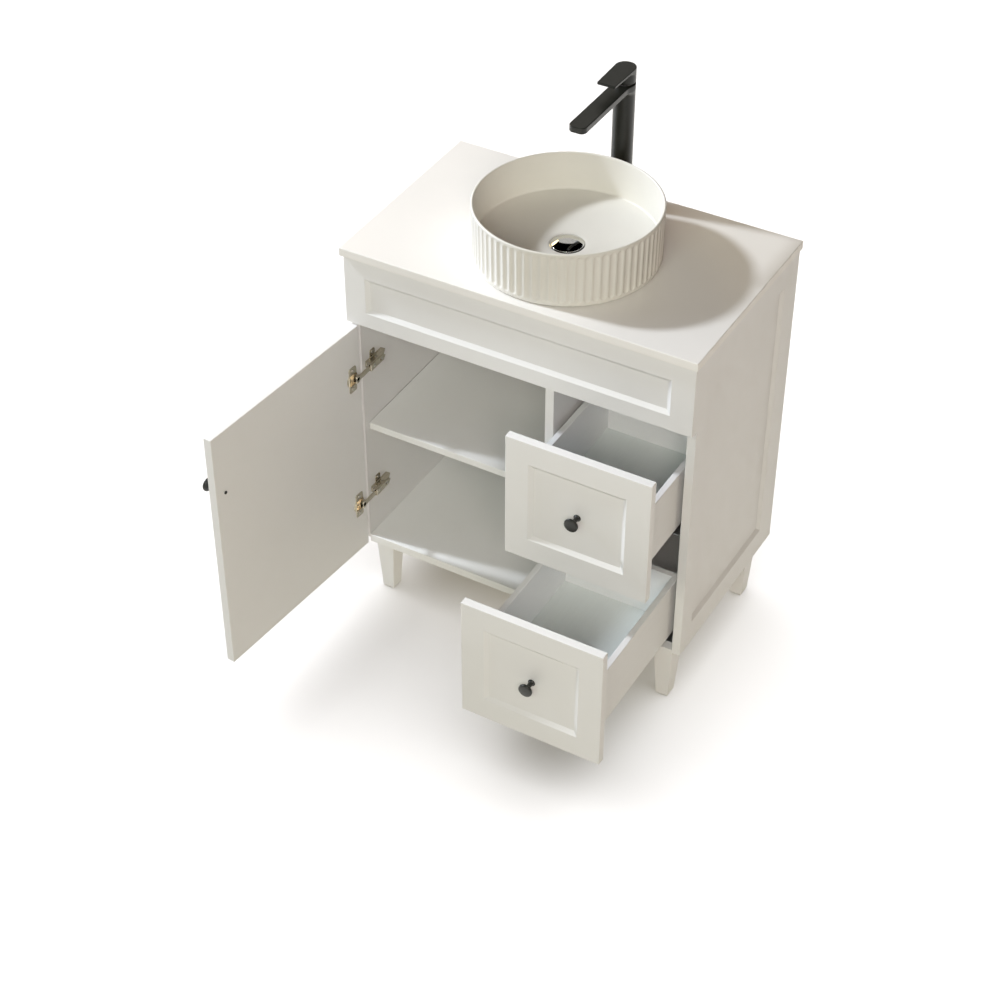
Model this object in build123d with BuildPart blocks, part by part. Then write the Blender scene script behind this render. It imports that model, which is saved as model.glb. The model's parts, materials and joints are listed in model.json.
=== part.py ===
from build123d import *
import os

# Bathroom vanity cabinet with a round vessel basin and a tall basin mixer.
# Millimetres. X runs to the right and Y to the back; Z is up.
# The origin is on the floor, in the plane of the cabinet's back, at the middle of its width.
# The door and both drawers are modelled open, in the resting pose of the assembly.

# ---- Driving dimensions ----

# Worktop and carcass
TOP_WIDTH = 760.0
TOP_DEPTH = 458.0
TOP_THICKNESS = 18.0
TOP_HEIGHT = 889.0
BOARD = 18.0  # cabinet board thickness
CARCASS_WIDTH = 750.0
CARCASS_FRONT = -431.0  # front edges of the carcass boards
SIDE_BOTTOM = 150.0
FLOOR_PANEL_BOTTOM = 139.0
PARTITION_LEFT = 60.0  # left face of the upright between door and drawers
BACK_PANEL_THICKNESS = 6.0
BACK_PANEL_REAR = -4.0
BACK_RAIL_HEIGHT = 100.0
BACK_RAIL_TOP = 840.0
STRETCHER_DEPTH = 80.0
WALL_HOLE_SPACING = 600.0
WALL_HOLE_RADIUS = 3.0
TOP_CHAMFER = 1.0
EDGE_CHAMFER = 0.8  # fronts, apron, shelf and drawer sides
WASTE_HOLE_CLEARANCE = 1.5  # worktop hole around the waste
SHANK_HOLE_CLEARANCE = 2.0  # worktop hole around the tap's shank

# Cut-out in the back panel for the waste and water pipes
CUTOUT_LEFT = -170.0
CUTOUT_RIGHT = 40.0
CUTOUT_BOTTOM = 500.0
CUTOUT_TOP = 720.0

# Door, drawer fronts and apron
FRONT_THICKNESS = 18.0
BUMPER_GAP = 2.0  # air between a closed front and the carcass
FRONT_GAP = 3.0  # air between neighbouring fronts
FRONTS_BOTTOM = 151.5
FRONTS_TOP = 713.5
DRAWER_SPLIT = 432.5  # middle of the gap between the two drawer fronts
DOOR_WIDTH = 446.0
FRAME_WIDTH = 49.0  # raised border around a sunk field
FIELD_DEPTH = 6.0
FIELD_BEVEL = 9.0
APRON_FRAME_SIDE = 47.0
APRON_FRAME_BOTTOM = 33.0
APRON_FRAME_TOP = 41.0
SIDE_FRAME_FRONT = 46.0
SIDE_FRAME_BACK = 60.0
SIDE_FRAME_BOTTOM = 55.0
SIDE_FRAME_TOP = 56.0

# Door hinges
DOOR_OPEN_ANGLE = 94.7  # from closed to the resting pose
HINGE_EDGE_OFFSET = 5.4  # hinge axis to the door's hinge edge, along the closed door
HINGE_FACE_OFFSET = 1.9  # hinge axis in front of the closed door's face
HINGE_HEIGHTS = (274.0, 597.0)
CUP_SETBACK = 26.0
CUP_RADIUS = 17.4
CUP_DEPTH = 12.0
CUP_FLANGE_WIDTH = 24.0
CUP_FLANGE_HEIGHT = 60.0
CUP_OPENING = (21.0, 26.0)  # hollow of the cup, across and up
CUP_OPENING_CORNER = 2.0
CUP_FLOOR = 2.0
CUP_HOLE_SPARE = 0.5  # depth of the door's cup hole below the cup
CUP_FLANGE_THICKNESS = 1.4
CUP_FLANGE_CORNER = 5.0
CUP_SCREW_OFFSET = 23.0  # screws above and below the cup's centre
ARM_HALF = 8.5  # half the height of the hinge arm
ARM_HEIGHT = 14.0  # arm above its mounting plate
ARM_FRONT_Y = -425.0
ARM_REAR_Y = -362.0
PLATE_THICKNESS = 4.0
PLATE_HALF = 7.5
PLATE_FRONT_Y = -420.0
WING_Y = (-404.0, -386.0)
WING_HALF = 24.0
WING_THICKNESS = 2.0
PLATE_SCREW_OFFSET = 16.0
LINK_DEPTHS = (6.3, 2.3)  # the link's two faces, below the top of the arm
LINK_FRONT_Y = -474.0
LINK_REAR_Y = -409.0
LINK_HALF = 5.0
LINK_PLAY = (0.7, 0.5, 0.6)  # room in the arm below, above and beside the link
NUB_DEPTH = 3.7  # hooked end of the link
NUB_LENGTH = 4.0

# Shelf
SHELF_TOP = 449.0
SHELF_THICKNESS = 16.0
SHELF_SETBACK = 14.0
SHELF_SIDE_GAP = 1.5
SHELF_BACK_GAP = 2.0
SHELF_PIN_RADIUS = 2.5
SHELF_PIN_HOLD = 8.0  # pin length in the board, and the same again under the shelf
SHELF_PIN_Y = (-370.0, -60.0)

# Drawers
UPPER_PULL = 159.0  # how far each drawer stands open at rest
LOWER_PULL = 325.5
BOX_LEFT = 87.4
BOX_RIGHT = 347.6
BOX_DEPTH = 366.0
BOX_HEIGHT = 135.0
BOX_LIFT = 38.5  # box underside above the front's lower edge
BOX_BOARD = 12.5
BOX_BOTTOM_THICKNESS = 5.0
BOX_BOTTOM_LIFT = 13.0
SLIDE_LENGTH = 350.0
SLIDE_WIDTH = 16.0
SLIDE_DROP = 16.0  # foot of the cabinet rail below the drawer box
SLIDE_SETBACK = 2.0  # front end of the cabinet rail behind the carcass front
RAIL_SHEET = 1.8
CABINET_RAIL_FOOT = 2.0  # foot of the cabinet rail past the middle rail
CABINET_RAIL_HEIGHT = 20.0
MIDDLE_RAIL_SPAN = (2.1, 8.7)  # above the foot of the cabinet rail
DRAWER_RAIL_FOOT = 9.0
DRAWER_RAIL_EXTRA = 1.0  # drawer rail wider than the middle rail, on each side

# Knobs
KNOB_HEIGHT = 575.0  # the door's and the upper drawer's knob
KNOB_RADIUS = 14.5
KNOB_REACH = 29.0
KNOB_SETBACK = 26.0  # door knob to the door's free edge
KNOB_FOOT_RADIUS = 7.5
KNOB_FOOT_EDGE = 1.6
KNOB_FLARE = (0.6, 3.4)  # end of the flare, past the neck and above the seat
KNOB_NECK_RADIUS = 4.6
KNOB_NECK_DROP = 12.0  # heights below the knob's face: neck, under side, rim and face edge
KNOB_UNDER_DROP = 7.6
KNOB_RIM_DROP = 5.0
KNOB_FACE_DROP = 2.4
KNOB_UNDER_INSET = 1.6
KNOB_FACE_INSET = 1.2
KNOB_HOLE_DEPTH = 12.0

# Screws
KNOB_SCREW_RADIUS = 2.0
KNOB_SCREW_HOLE_RADIUS = 2.2
KNOB_SCREW_HOLD = 9.0  # length of the screw in the knob
KNOB_SCREW_HEAD = (4.2, 2.4)  # radius and height
KNOB_SCREW_CROSS = (5.0, 1.0, 1.2)  # length, width and depth
HINGE_SCREW_HEAD = (3.2, 1.4)
HINGE_SCREW_CROSS = (4.0, 0.9, 0.8)
PLATE_SCREW_HEAD = (4.0, 1.8)
PLATE_SCREW_CROSS = (5.0, 1.0, 0.9)

# Legs
LEG_TOP_SIZE = (43.0, 46.0)
LEG_FOOT_SIZE = (27.5, 31.0)
LEG_CENTRE_X = 331.0
LEG_FRONT_Y = -393.5
LEG_BACK_Y = -38.0
LEG_CORNER = 2.0
GLIDE_THICKNESS = 3.0
GLIDE_INSET = 2.0

# Basin and waste
BASIN_X = 9.0
BASIN_Y = -260.5
BASIN_RIM_RADIUS = 182.4
BASIN_FOOT_RADIUS = 180.9
BASIN_HEIGHT = 115.0
BASIN_WALL = 5.5
BASIN_SEAL_THICKNESS = 2.0
BASIN_FLOOR_HEIGHT = 22.0  # basin floor at the waste, above the worktop
BASIN_FLOOR_RISE = 12.0  # from the waste to the foot of the wall
BASIN_FLOOR_ROUND = 4.0
BASIN_WALL_LEAN = 0.5  # inner wall closer to the middle at its foot than at the rim
BASIN_FOOT_EDGE = 3.0  # rounding under the basin
BASIN_FOOT_INNER_RADIUS = 150.0
BASIN_UNDER_RECESS = 10.0
BASIN_HOLE_CLEARANCE = 1.0
BASIN_SEAT_CLEARANCE = 0.3
BASIN_SEAL_INSET = 8.0
BASIN_SEAL_WIDEN = 2.0
WASTE_FLANGE_RADIUS = 34.0
WASTE_TUBE_RADIUS = 21.0
WASTE_BORE_RADIUS = 17.0
TAIL_RADIUS = 16.0
TAIL_BORE_RADIUS = 14.0
TAIL_BOTTOM = 730.0
WASTE_FLANGE_THICKNESS = 2.5
TUBE_BOTTOM = 850.0
TUBE_FLOOR = 3.0
SPIDER_LOW = 884.0  # cross that guides the stopper's stem
SPIDER_HIGH = 892.0
SPIDER_HALF = 1.5
SPIDER_HUB = 2.5
SPIDER_BITE = 1.0  # how far the cross runs into the tube's wall
WASTE_SEAL_THICKNESS = 5.0
WASTE_SEAL_WIDTH = 9.0
WASTE_NUT_HEIGHT = 10.0
WASTE_NUT_WIDTH = 11.0
STOPPER_RADIUS = 32.0
STOPPER_LIFT = 9.0
STOPPER_GAP = 0.3
STOPPER_EDGE = (1.0, 1.2)  # sloping edge of the cap, inwards and up
STOPPER_CAP_HEIGHT = 7.0
STOPPER_STEM_RADIUS = 4.5

# Mixer tap
TAP_X = 9.0
TAP_Y = -43.5
TAP_RADIUS = 21.15
TAP_BASE_HEIGHT = 4.0
TAP_BASE_WIDTH = 3.0
TAP_BODY_TOP = 1149.5
TAP_HANDLE_TOP = 1181.0
TAP_HANDLE_GAP = 2.0
SPOUT_REACH = 196.0
SPOUT_WIDTH = 36.0
SPOUT_THICKNESS = 12.5
SPOUT_CORNER = 8.0
AERATOR_SETBACK = 16.0
AERATOR_RADIUS = 11.0
AERATOR_BORE_RADIUS = 7.0
AERATOR_DEPTH = 8.0
AERATOR_STAND = 1.0  # aerator below the spout
LEVER_REACH = 79.0
LEVER_WIDTH = 39.0
LEVER_THICKNESS = 5.0
LEVER_CORNER = 4.0
CARTRIDGE_RADIUS = 17.5
CARTRIDGE_DEPTH = 38.0
SPINDLE_RADIUS = 5.0
SPINDLE_DEPTH = 20.0
SPINDLE_PLAY = 1.0
STEM_DISC_RADIUS = 13.0
STEM_DISC_SPAN = (0.3, 3.7)  # above the tap's body
LUG_HALF = 4.0
LUG_ROUND = 3.0
LUG_FRONT = 6.0  # lug in front of the tap's axis
LUG_BITE = 0.4
LIFT_PIN_BACK = 15.0
LIFT_PIN_RADIUS = 1.5
LIFT_PIN_HALF = 10.0
LIFT_PIN_HEIGHT = 7.5  # above the tap's body
HANDLE_CAVITY_RADIUS = 16.0
HANDLE_CAVITY_HEIGHT = 20.0  # above the tap's body
HANDLE_SLOT_PLAY = 1.0
HANDLE_SLOT_BACK = 3.8  # slot behind the lift pin's axis
SHANK_RADIUS = 15.0
SHANK_SOCKET = 12.0
SHANK_BOTTOM = 843.0
HOSE_THREAD_RADIUS = 4.5
HOSE_OFFSET = 7.0
HOSE_DEPTH = 15.0
TAP_NUT_HEIGHT = 10.0
TAP_NUT_WIDTH = 8.0

# ---- Places worked out from the dimensions ----

CARCASS_HALF = CARCASS_WIDTH / 2
INNER_HALF = CARCASS_HALF - BOARD
CARCASS_TOP = TOP_HEIGHT - TOP_THICKNESS
FRONT_INNER = CARCASS_FRONT - BUMPER_GAP  # inner plane of the closed fronts
FRONT_OUTER = FRONT_INNER - FRONT_THICKNESS  # outer plane of the closed fronts
APRON_BOTTOM = FRONTS_TOP + FRONT_GAP
FLOOR_PANEL_TOP = FLOOR_PANEL_BOTTOM + BOARD
PARTITION_RIGHT = PARTITION_LEFT + BOARD
PARTITION_TOP = CARCASS_TOP - BOARD
BACK_PANEL_FRONT = BACK_PANEL_REAR - BACK_PANEL_THICKNESS
DRAWER_FRONT_LEFT = -CARCASS_HALF + DOOR_WIDTH + FRONT_GAP
BASIN_BASE = TOP_HEIGHT + BASIN_SEAL_THICKNESS
BASIN_RIM = TOP_HEIGHT + BASIN_HEIGHT
BASIN_FLOOR = TOP_HEIGHT + BASIN_FLOOR_HEIGHT
SHELF_PIN_Z = SHELF_TOP - SHELF_THICKNESS - SHELF_PIN_RADIUS
SHELF_PIN_POINTS = [(y, SHELF_PIN_Z) for y in SHELF_PIN_Y]
WALL_HOLE_Z = BACK_RAIL_TOP - BACK_RAIL_HEIGHT / 2
WALL_HOLES = ((-WALL_HOLE_SPACING / 2, WALL_HOLE_Z), (WALL_HOLE_SPACING / 2, WALL_HOLE_Z))
ARM_BACK = -INNER_HALF + PLATE_THICKNESS
ARM_TOP = ARM_BACK + ARM_HEIGHT
LINK_LOW = ARM_TOP - LINK_DEPTHS[0]
LINK_HIGH = ARM_TOP - LINK_DEPTHS[1]
BOX_MIDDLE = (PARTITION_RIGHT + INNER_HALF) / 2
RAIL_FRONT_Y = CARCASS_FRONT + SLIDE_SETBACK
DRAWER_FRONT_MIDDLE = (DRAWER_FRONT_LEFT + CARCASS_HALF) / 2
RIM_ROUND = BASIN_WALL / 2
INNER_WALL_RADIUS = BASIN_RIM_RADIUS - BASIN_WALL
FLOOR_EDGE = INNER_WALL_RADIUS - BASIN_FLOOR_ROUND - BASIN_WALL_LEAN
FLOOR_EDGE_Z = BASIN_FLOOR + BASIN_FLOOR_RISE
HOLE_RADIUS = WASTE_TUBE_RADIUS + BASIN_HOLE_CLEARANCE
SEAT_RADIUS = WASTE_FLANGE_RADIUS + BASIN_SEAT_CLEARANCE
TAP_BASE = TOP_HEIGHT + TAP_BASE_HEIGHT
SPOUT_FRONT = TAP_Y - SPOUT_REACH
SPOUT_LOW = TAP_BODY_TOP - SPOUT_THICKNESS
AERATOR_Y = SPOUT_FRONT + AERATOR_SETBACK
STEM_DISC = [TAP_BODY_TOP + height for height in STEM_DISC_SPAN]
LIFT_PIN_Y = TAP_Y + LIFT_PIN_BACK
LIFT_PIN_Z = TAP_BODY_TOP + LIFT_PIN_HEIGHT
HANDLE_LOW = TAP_BODY_TOP + TAP_HANDLE_GAP
CAVITY_TOP = TAP_BODY_TOP + HANDLE_CAVITY_HEIGHT
SLOT_HALF = LUG_HALF + HANDLE_SLOT_PLAY
SLOT_BACK = LIFT_PIN_Y + HANDLE_SLOT_BACK
PIN = 0.05  # radial running clearance of every pin in its hole

os.makedirs("parts", exist_ok=True)


def keep(piece, name):
    """Label a finished piece and write it as its own STEP file."""
    piece.part.label = name
    export_step(piece.part, f"parts/{name}.step")


def board(x0, x1, y0, y1, z0, z1, mode=Mode.ADD):
    """Add or cut a flat-sided board between two corners, in the piece being built."""
    with BuildSketch(Plane.XY.offset(z0)) as outline:
        with Locations(((x0 + x1) / 2, (y0 + y1) / 2)):
            Rectangle(x1 - x0, y1 - y0)
    extrude(outline.sketch, amount=z1 - z0, mode=mode)


def rod(x, y, z0, z1, radius, mode=Mode.ADD):
    """Add or cut an upright cylinder, in the piece being built."""
    with BuildSketch(Plane.XY.offset(z0)) as outline:
        with Locations((x, y)):
            Circle(radius)
    extrude(outline.sketch, amount=z1 - z0, mode=mode)


def sunk_field(face, x0, x1, y0, y1):
    """Cut a sunk field with a bevelled border into a panel; face is the panel's outer plane."""
    middle = ((x0 + x1) / 2, (y0 + y1) / 2)
    with BuildSketch(face) as mouth:
        with Locations(middle):
            Rectangle(x1 - x0, y1 - y0)
    with BuildSketch(face.offset(-FIELD_DEPTH)) as field:
        with Locations(middle):
            Rectangle(x1 - x0 - 2 * FIELD_BEVEL, y1 - y0 - 2 * FIELD_BEVEL)
    loft([mouth.sketch, field.sketch], mode=Mode.SUBTRACT)


# ---- Worktop ----

with BuildPart() as worktop:
    board(-TOP_WIDTH / 2, TOP_WIDTH / 2, -TOP_DEPTH, 0, CARCASS_TOP, TOP_HEIGHT)
    chamfer(worktop.edges().filter_by(GeomType.LINE), TOP_CHAMFER)
    rod(BASIN_X, BASIN_Y, CARCASS_TOP, TOP_HEIGHT, WASTE_TUBE_RADIUS + WASTE_HOLE_CLEARANCE, Mode.SUBTRACT)
    rod(TAP_X, TAP_Y, CARCASS_TOP, TOP_HEIGHT, SHANK_RADIUS + SHANK_HOLE_CLEARANCE, Mode.SUBTRACT)
keep(worktop, "worktop")

# ---- Carcass ----


def side_panel(sign, name):
    """Side board with a sunk field outside and shelf-pin and hinge-screw holes inside."""
    outer_face = Plane(origin=(sign * CARCASS_HALF, 0, 0), x_dir=(0, sign, 0), z_dir=(sign, 0, 0))
    low = sign * (CARCASS_FRONT + SIDE_FRAME_FRONT)
    high = sign * -SIDE_FRAME_BACK
    inner = sign * INNER_HALF
    with BuildPart() as panel:
        board(min(inner, sign * CARCASS_HALF), max(inner, sign * CARCASS_HALF), CARCASS_FRONT, 0,
              SIDE_BOTTOM, CARCASS_TOP)
        sunk_field(outer_face, min(low, high), max(low, high), SIDE_BOTTOM + SIDE_FRAME_BOTTOM,
                   CARCASS_TOP - SIDE_FRAME_TOP)
        if sign < 0:
            with BuildSketch(Plane.YZ.offset(inner)):
                with Locations(*SHELF_PIN_POINTS):
                    Circle(SHELF_PIN_RADIUS)
            extrude(amount=-SHELF_PIN_HOLD, mode=Mode.SUBTRACT)
    keep(panel, name)


side_panel(-1, "side_panel_left")
side_panel(1, "side_panel_right")

with BuildPart() as floor_panel:
    board(-INNER_HALF, INNER_HALF, CARCASS_FRONT, 0, FLOOR_PANEL_BOTTOM, FLOOR_PANEL_TOP)
keep(floor_panel, "floor_panel")

with BuildPart() as partition:
    board(PARTITION_LEFT, PARTITION_RIGHT, CARCASS_FRONT, BACK_PANEL_FRONT, FLOOR_PANEL_TOP, PARTITION_TOP)
    board(PARTITION_LEFT, PARTITION_RIGHT, BACK_PANEL_FRONT - BOARD, BACK_PANEL_FRONT,
          BACK_RAIL_TOP - BACK_RAIL_HEIGHT, BACK_RAIL_TOP, Mode.SUBTRACT)
    with BuildSketch(Plane.YZ.offset(PARTITION_LEFT)):
        with Locations(*SHELF_PIN_POINTS):
            Circle(SHELF_PIN_RADIUS)
    extrude(amount=SHELF_PIN_HOLD, mode=Mode.SUBTRACT)
keep(partition, "partition")

with BuildPart() as back_panel:
    board(-INNER_HALF, INNER_HALF, BACK_PANEL_FRONT, BACK_PANEL_REAR, FLOOR_PANEL_TOP, CARCASS_TOP)
    board(CUTOUT_LEFT, CUTOUT_RIGHT, BACK_PANEL_FRONT, BACK_PANEL_REAR, CUTOUT_BOTTOM, CUTOUT_TOP,
          Mode.SUBTRACT)
    with BuildSketch(Plane.XZ.offset(-BACK_PANEL_REAR)):
        with Locations(*WALL_HOLES):
            Circle(WALL_HOLE_RADIUS)
    extrude(amount=BACK_PANEL_THICKNESS, mode=Mode.SUBTRACT)
keep(back_panel, "back_panel")

with BuildPart() as back_rail:
    board(-INNER_HALF, INNER_HALF, BACK_PANEL_FRONT - BOARD, BACK_PANEL_FRONT,
          BACK_RAIL_TOP - BACK_RAIL_HEIGHT, BACK_RAIL_TOP)
    with BuildSketch(Plane.XZ.offset(-BACK_PANEL_FRONT)):
        with Locations(*WALL_HOLES):
            Circle(WALL_HOLE_RADIUS)
    extrude(amount=BOARD, mode=Mode.SUBTRACT)
keep(back_rail, "back_rail")

with BuildPart() as front_stretcher:
    board(-INNER_HALF, INNER_HALF, CARCASS_FRONT, CARCASS_FRONT + STRETCHER_DEPTH, PARTITION_TOP,
          CARCASS_TOP)
keep(front_stretcher, "front_stretcher")

with BuildPart() as apron:
    board(-CARCASS_HALF, CARCASS_HALF, FRONT_OUTER, CARCASS_FRONT, APRON_BOTTOM, CARCASS_TOP)
    chamfer(apron.faces().sort_by(Axis.Y)[0].edges(), EDGE_CHAMFER)
    sunk_field(Plane(origin=(0, FRONT_OUTER, 0), x_dir=(1, 0, 0), z_dir=(0, -1, 0)),
               -CARCASS_HALF + APRON_FRAME_SIDE, CARCASS_HALF - APRON_FRAME_SIDE,
               APRON_BOTTOM + APRON_FRAME_BOTTOM, CARCASS_TOP - APRON_FRAME_TOP)
keep(apron, "apron")

with BuildPart() as shelf:
    board(-INNER_HALF + SHELF_SIDE_GAP, PARTITION_LEFT - SHELF_SIDE_GAP, CARCASS_FRONT + SHELF_SETBACK,
          BACK_PANEL_FRONT - SHELF_BACK_GAP, SHELF_TOP - SHELF_THICKNESS, SHELF_TOP)
    chamfer(shelf.edges().filter_by(Axis.X), EDGE_CHAMFER)
keep(shelf, "shelf")

with BuildPart() as shelf_pins:
    for wall, inward in ((-INNER_HALF, 1), (PARTITION_LEFT, -1)):
        with BuildSketch(Plane.YZ.offset(wall - inward * SHELF_PIN_HOLD)):
            with Locations(*SHELF_PIN_POINTS):
                Circle(SHELF_PIN_RADIUS)
        extrude(amount=inward * 2 * SHELF_PIN_HOLD)
keep(shelf_pins, "shelf_pins")

# ---- Legs ----


def leg(x, y, name):
    """Square leg, tapered on all four faces."""
    with BuildPart() as post:
        with BuildSketch(Plane.XY.offset(GLIDE_THICKNESS)):
            with Locations((x, y)):
                RectangleRounded(*LEG_FOOT_SIZE, LEG_CORNER)
        with BuildSketch(Plane.XY.offset(FLOOR_PANEL_BOTTOM)):
            with Locations((x, y)):
                RectangleRounded(*LEG_TOP_SIZE, LEG_CORNER)
        loft()
    keep(post, name)


LEG_PLACES = {
    "leg_front_left": (-LEG_CENTRE_X, LEG_FRONT_Y),
    "leg_front_right": (LEG_CENTRE_X, LEG_FRONT_Y),
    "leg_back_left": (-LEG_CENTRE_X, LEG_BACK_Y),
    "leg_back_right": (LEG_CENTRE_X, LEG_BACK_Y),
}
for leg_name, (leg_x, leg_y) in LEG_PLACES.items():
    leg(leg_x, leg_y, leg_name)

with BuildPart() as leg_glides:
    for leg_x, leg_y in LEG_PLACES.values():
        rod(leg_x, leg_y, 0, GLIDE_THICKNESS, LEG_FOOT_SIZE[0] / 2 - GLIDE_INSET)
keep(leg_glides, "leg_glides")

# ---- Door, built on a plane that stands where the open door stands ----
# On that plane x runs from the hinge edge to the free edge, y is up and z points out of the face.

HINGE_X = -CARCASS_HALF + HINGE_EDGE_OFFSET
HINGE_Y = FRONT_OUTER - HINGE_FACE_OFFSET
hinge_to_corner = Vector(-HINGE_EDGE_OFFSET, HINGE_FACE_OFFSET, 0)
door_face = Plane(
    origin=Vector(HINGE_X, HINGE_Y, 0) + hinge_to_corner.rotate(Axis.Z, -DOOR_OPEN_ANGLE),
    x_dir=Vector(1, 0, 0).rotate(Axis.Z, -DOOR_OPEN_ANGLE),
    z_dir=Vector(0, -1, 0).rotate(Axis.Z, -DOOR_OPEN_ANGLE),
)
door_inside = door_face.offset(-FRONT_THICKNESS)
DOOR_MIDDLE = (DOOR_WIDTH / 2, (FRONTS_BOTTOM + FRONTS_TOP) / 2)
DOOR_KNOB = (DOOR_WIDTH - KNOB_SETBACK, KNOB_HEIGHT)
CUPS = [(CUP_SETBACK, height) for height in HINGE_HEIGHTS]

with BuildPart() as door:
    with BuildSketch(door_inside):
        with Locations(DOOR_MIDDLE):
            Rectangle(DOOR_WIDTH, FRONTS_TOP - FRONTS_BOTTOM)
    extrude(amount=FRONT_THICKNESS)
    chamfer(door.edges().filter_by(GeomType.LINE), EDGE_CHAMFER)
    sunk_field(door_face, FRAME_WIDTH, DOOR_WIDTH - FRAME_WIDTH, FRONTS_BOTTOM + FRAME_WIDTH,
               FRONTS_TOP - FRAME_WIDTH)
    with BuildSketch(door_inside):
        with Locations(*CUPS):
            Circle(CUP_RADIUS)
    extrude(amount=CUP_DEPTH + CUP_HOLE_SPARE, mode=Mode.SUBTRACT)
    with BuildSketch(door_inside):
        with Locations(DOOR_KNOB):
            Circle(KNOB_SCREW_HOLE_RADIUS)
    extrude(amount=FRONT_THICKNESS, mode=Mode.SUBTRACT)
keep(door, "door")


def dome_arc(radius, low, high):
    """Arc of a sphere centred on the turning axis, from its edge up to its pole."""
    sphere = (radius ** 2 + (high - low) ** 2) / (2 * (high - low))
    half = radius / 2
    return ThreePointArc((radius, low), (half, high - sphere + (sphere ** 2 - half ** 2) ** 0.5), (0, high))


def knob(seat, name):
    """Mushroom knob with a blind screw hole; seat is the plane and centre it is screwed to."""
    neck_top = (KNOB_NECK_RADIUS, KNOB_REACH - KNOB_NECK_DROP)
    under_edge = (KNOB_RADIUS - KNOB_UNDER_INSET, KNOB_REACH - KNOB_UNDER_DROP)
    face_edge = (KNOB_RADIUS - KNOB_FACE_INSET, KNOB_REACH - KNOB_FACE_DROP)
    with BuildPart() as turned:
        with BuildSketch(Plane(origin=seat.origin, x_dir=seat.x_dir, z_dir=-seat.y_dir)):
            with BuildLine():
                Polyline((0, 0), (KNOB_FOOT_RADIUS, 0), (KNOB_FOOT_RADIUS, KNOB_FOOT_EDGE),
                         (KNOB_NECK_RADIUS + KNOB_FLARE[0], KNOB_FLARE[1]), neck_top)
                TangentArc(neck_top, under_edge, tangent=(0, 1))
                ThreePointArc(under_edge, (KNOB_RADIUS, KNOB_REACH - KNOB_RIM_DROP), face_edge)
                dome_arc(*face_edge, KNOB_REACH)
                Line((0, KNOB_REACH), (0, 0))
            make_face()
        revolve(axis=Axis(seat.origin, seat.z_dir))
        with BuildSketch(seat):
            Circle(KNOB_SCREW_RADIUS)
        extrude(amount=KNOB_HOLE_DEPTH, mode=Mode.SUBTRACT)
    keep(turned, name)


def screw_heads(seat, points, head, cross):
    """Screw heads with cross recesses on a plane whose z axis points into the wood."""
    radius, height = head
    length, width, depth = cross
    top = seat.offset(-height)
    with BuildSketch(top) as discs:
        with Locations(*points):
            Circle(radius)
    extrude(discs.sketch, amount=height)
    with BuildSketch(top) as crosses:
        with Locations(*points):
            Rectangle(length, width)
            Rectangle(width, length)
    extrude(crosses.sketch, amount=depth, mode=Mode.SUBTRACT)


def knob_screw(inside, depth, name):
    """Screw that passes from the inner face of a front into its knob."""
    with BuildPart() as screw:
        screw_heads(inside, [(0, 0)], KNOB_SCREW_HEAD, KNOB_SCREW_CROSS)
        with BuildSketch(inside):
            Circle(KNOB_SCREW_RADIUS)
        extrude(amount=depth + KNOB_SCREW_HOLD)
    keep(screw, name)


def placed(plane, x, y):
    """The same plane with its origin moved to a point on it."""
    return Plane(origin=plane.from_local_coords((x, y, 0)), x_dir=plane.x_dir, z_dir=plane.z_dir)


knob(placed(door_face, *DOOR_KNOB), "door_knob")
knob_screw(placed(door_inside, *DOOR_KNOB), FRONT_THICKNESS, "door_knob_screw")

# ---- Concealed hinges ----

with BuildPart() as hinge_cups:
    with BuildSketch(door_inside):
        with Locations(*CUPS):
            Circle(CUP_RADIUS)
    extrude(amount=CUP_DEPTH)
    with BuildSketch(door_inside.offset(-CUP_FLANGE_THICKNESS)):
        with Locations(*CUPS):
            RectangleRounded(CUP_FLANGE_WIDTH, CUP_FLANGE_HEIGHT, CUP_FLANGE_CORNER)
    extrude(amount=CUP_FLANGE_THICKNESS)
    with BuildSketch(door_inside.offset(-CUP_FLANGE_THICKNESS)):
        with Locations(*CUPS):
            RectangleRounded(*CUP_OPENING, CUP_OPENING_CORNER)
    extrude(amount=CUP_FLANGE_THICKNESS + CUP_DEPTH - CUP_FLOOR, mode=Mode.SUBTRACT)
keep(hinge_cups, "hinge_cups")

CUP_SCREWS = [(CUP_SETBACK, z + d) for z in HINGE_HEIGHTS for d in (-CUP_SCREW_OFFSET, CUP_SCREW_OFFSET)]

with BuildPart() as hinge_cup_screws:
    screw_heads(door_inside.offset(-CUP_FLANGE_THICKNESS), CUP_SCREWS, HINGE_SCREW_HEAD, HINGE_SCREW_CROSS)
keep(hinge_cup_screws, "hinge_cup_screws")

# The arm is a channel on a cross-shaped mounting plate; the link runs in the channel.
with BuildPart() as hinge_plates:
    for height in HINGE_HEIGHTS:
        board(-INNER_HALF, ARM_BACK, PLATE_FRONT_Y, ARM_REAR_Y, height - PLATE_HALF, height + PLATE_HALF)
        board(-INNER_HALF, -INNER_HALF + WING_THICKNESS, *WING_Y, height - WING_HALF, height + WING_HALF)
keep(hinge_plates, "hinge_plates")

wing_face = Plane(origin=(-INNER_HALF + WING_THICKNESS, 0, 0), x_dir=(0, -1, 0), z_dir=(-1, 0, 0))
wing_middle = sum(WING_Y) / 2
PLATE_SCREWS = [
    (-wing_middle, z + d) for z in HINGE_HEIGHTS for d in (-PLATE_SCREW_OFFSET, PLATE_SCREW_OFFSET)
]

with BuildPart() as hinge_plate_screws:
    screw_heads(wing_face, PLATE_SCREWS, PLATE_SCREW_HEAD, PLATE_SCREW_CROSS)
keep(hinge_plate_screws, "hinge_plate_screws")

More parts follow.
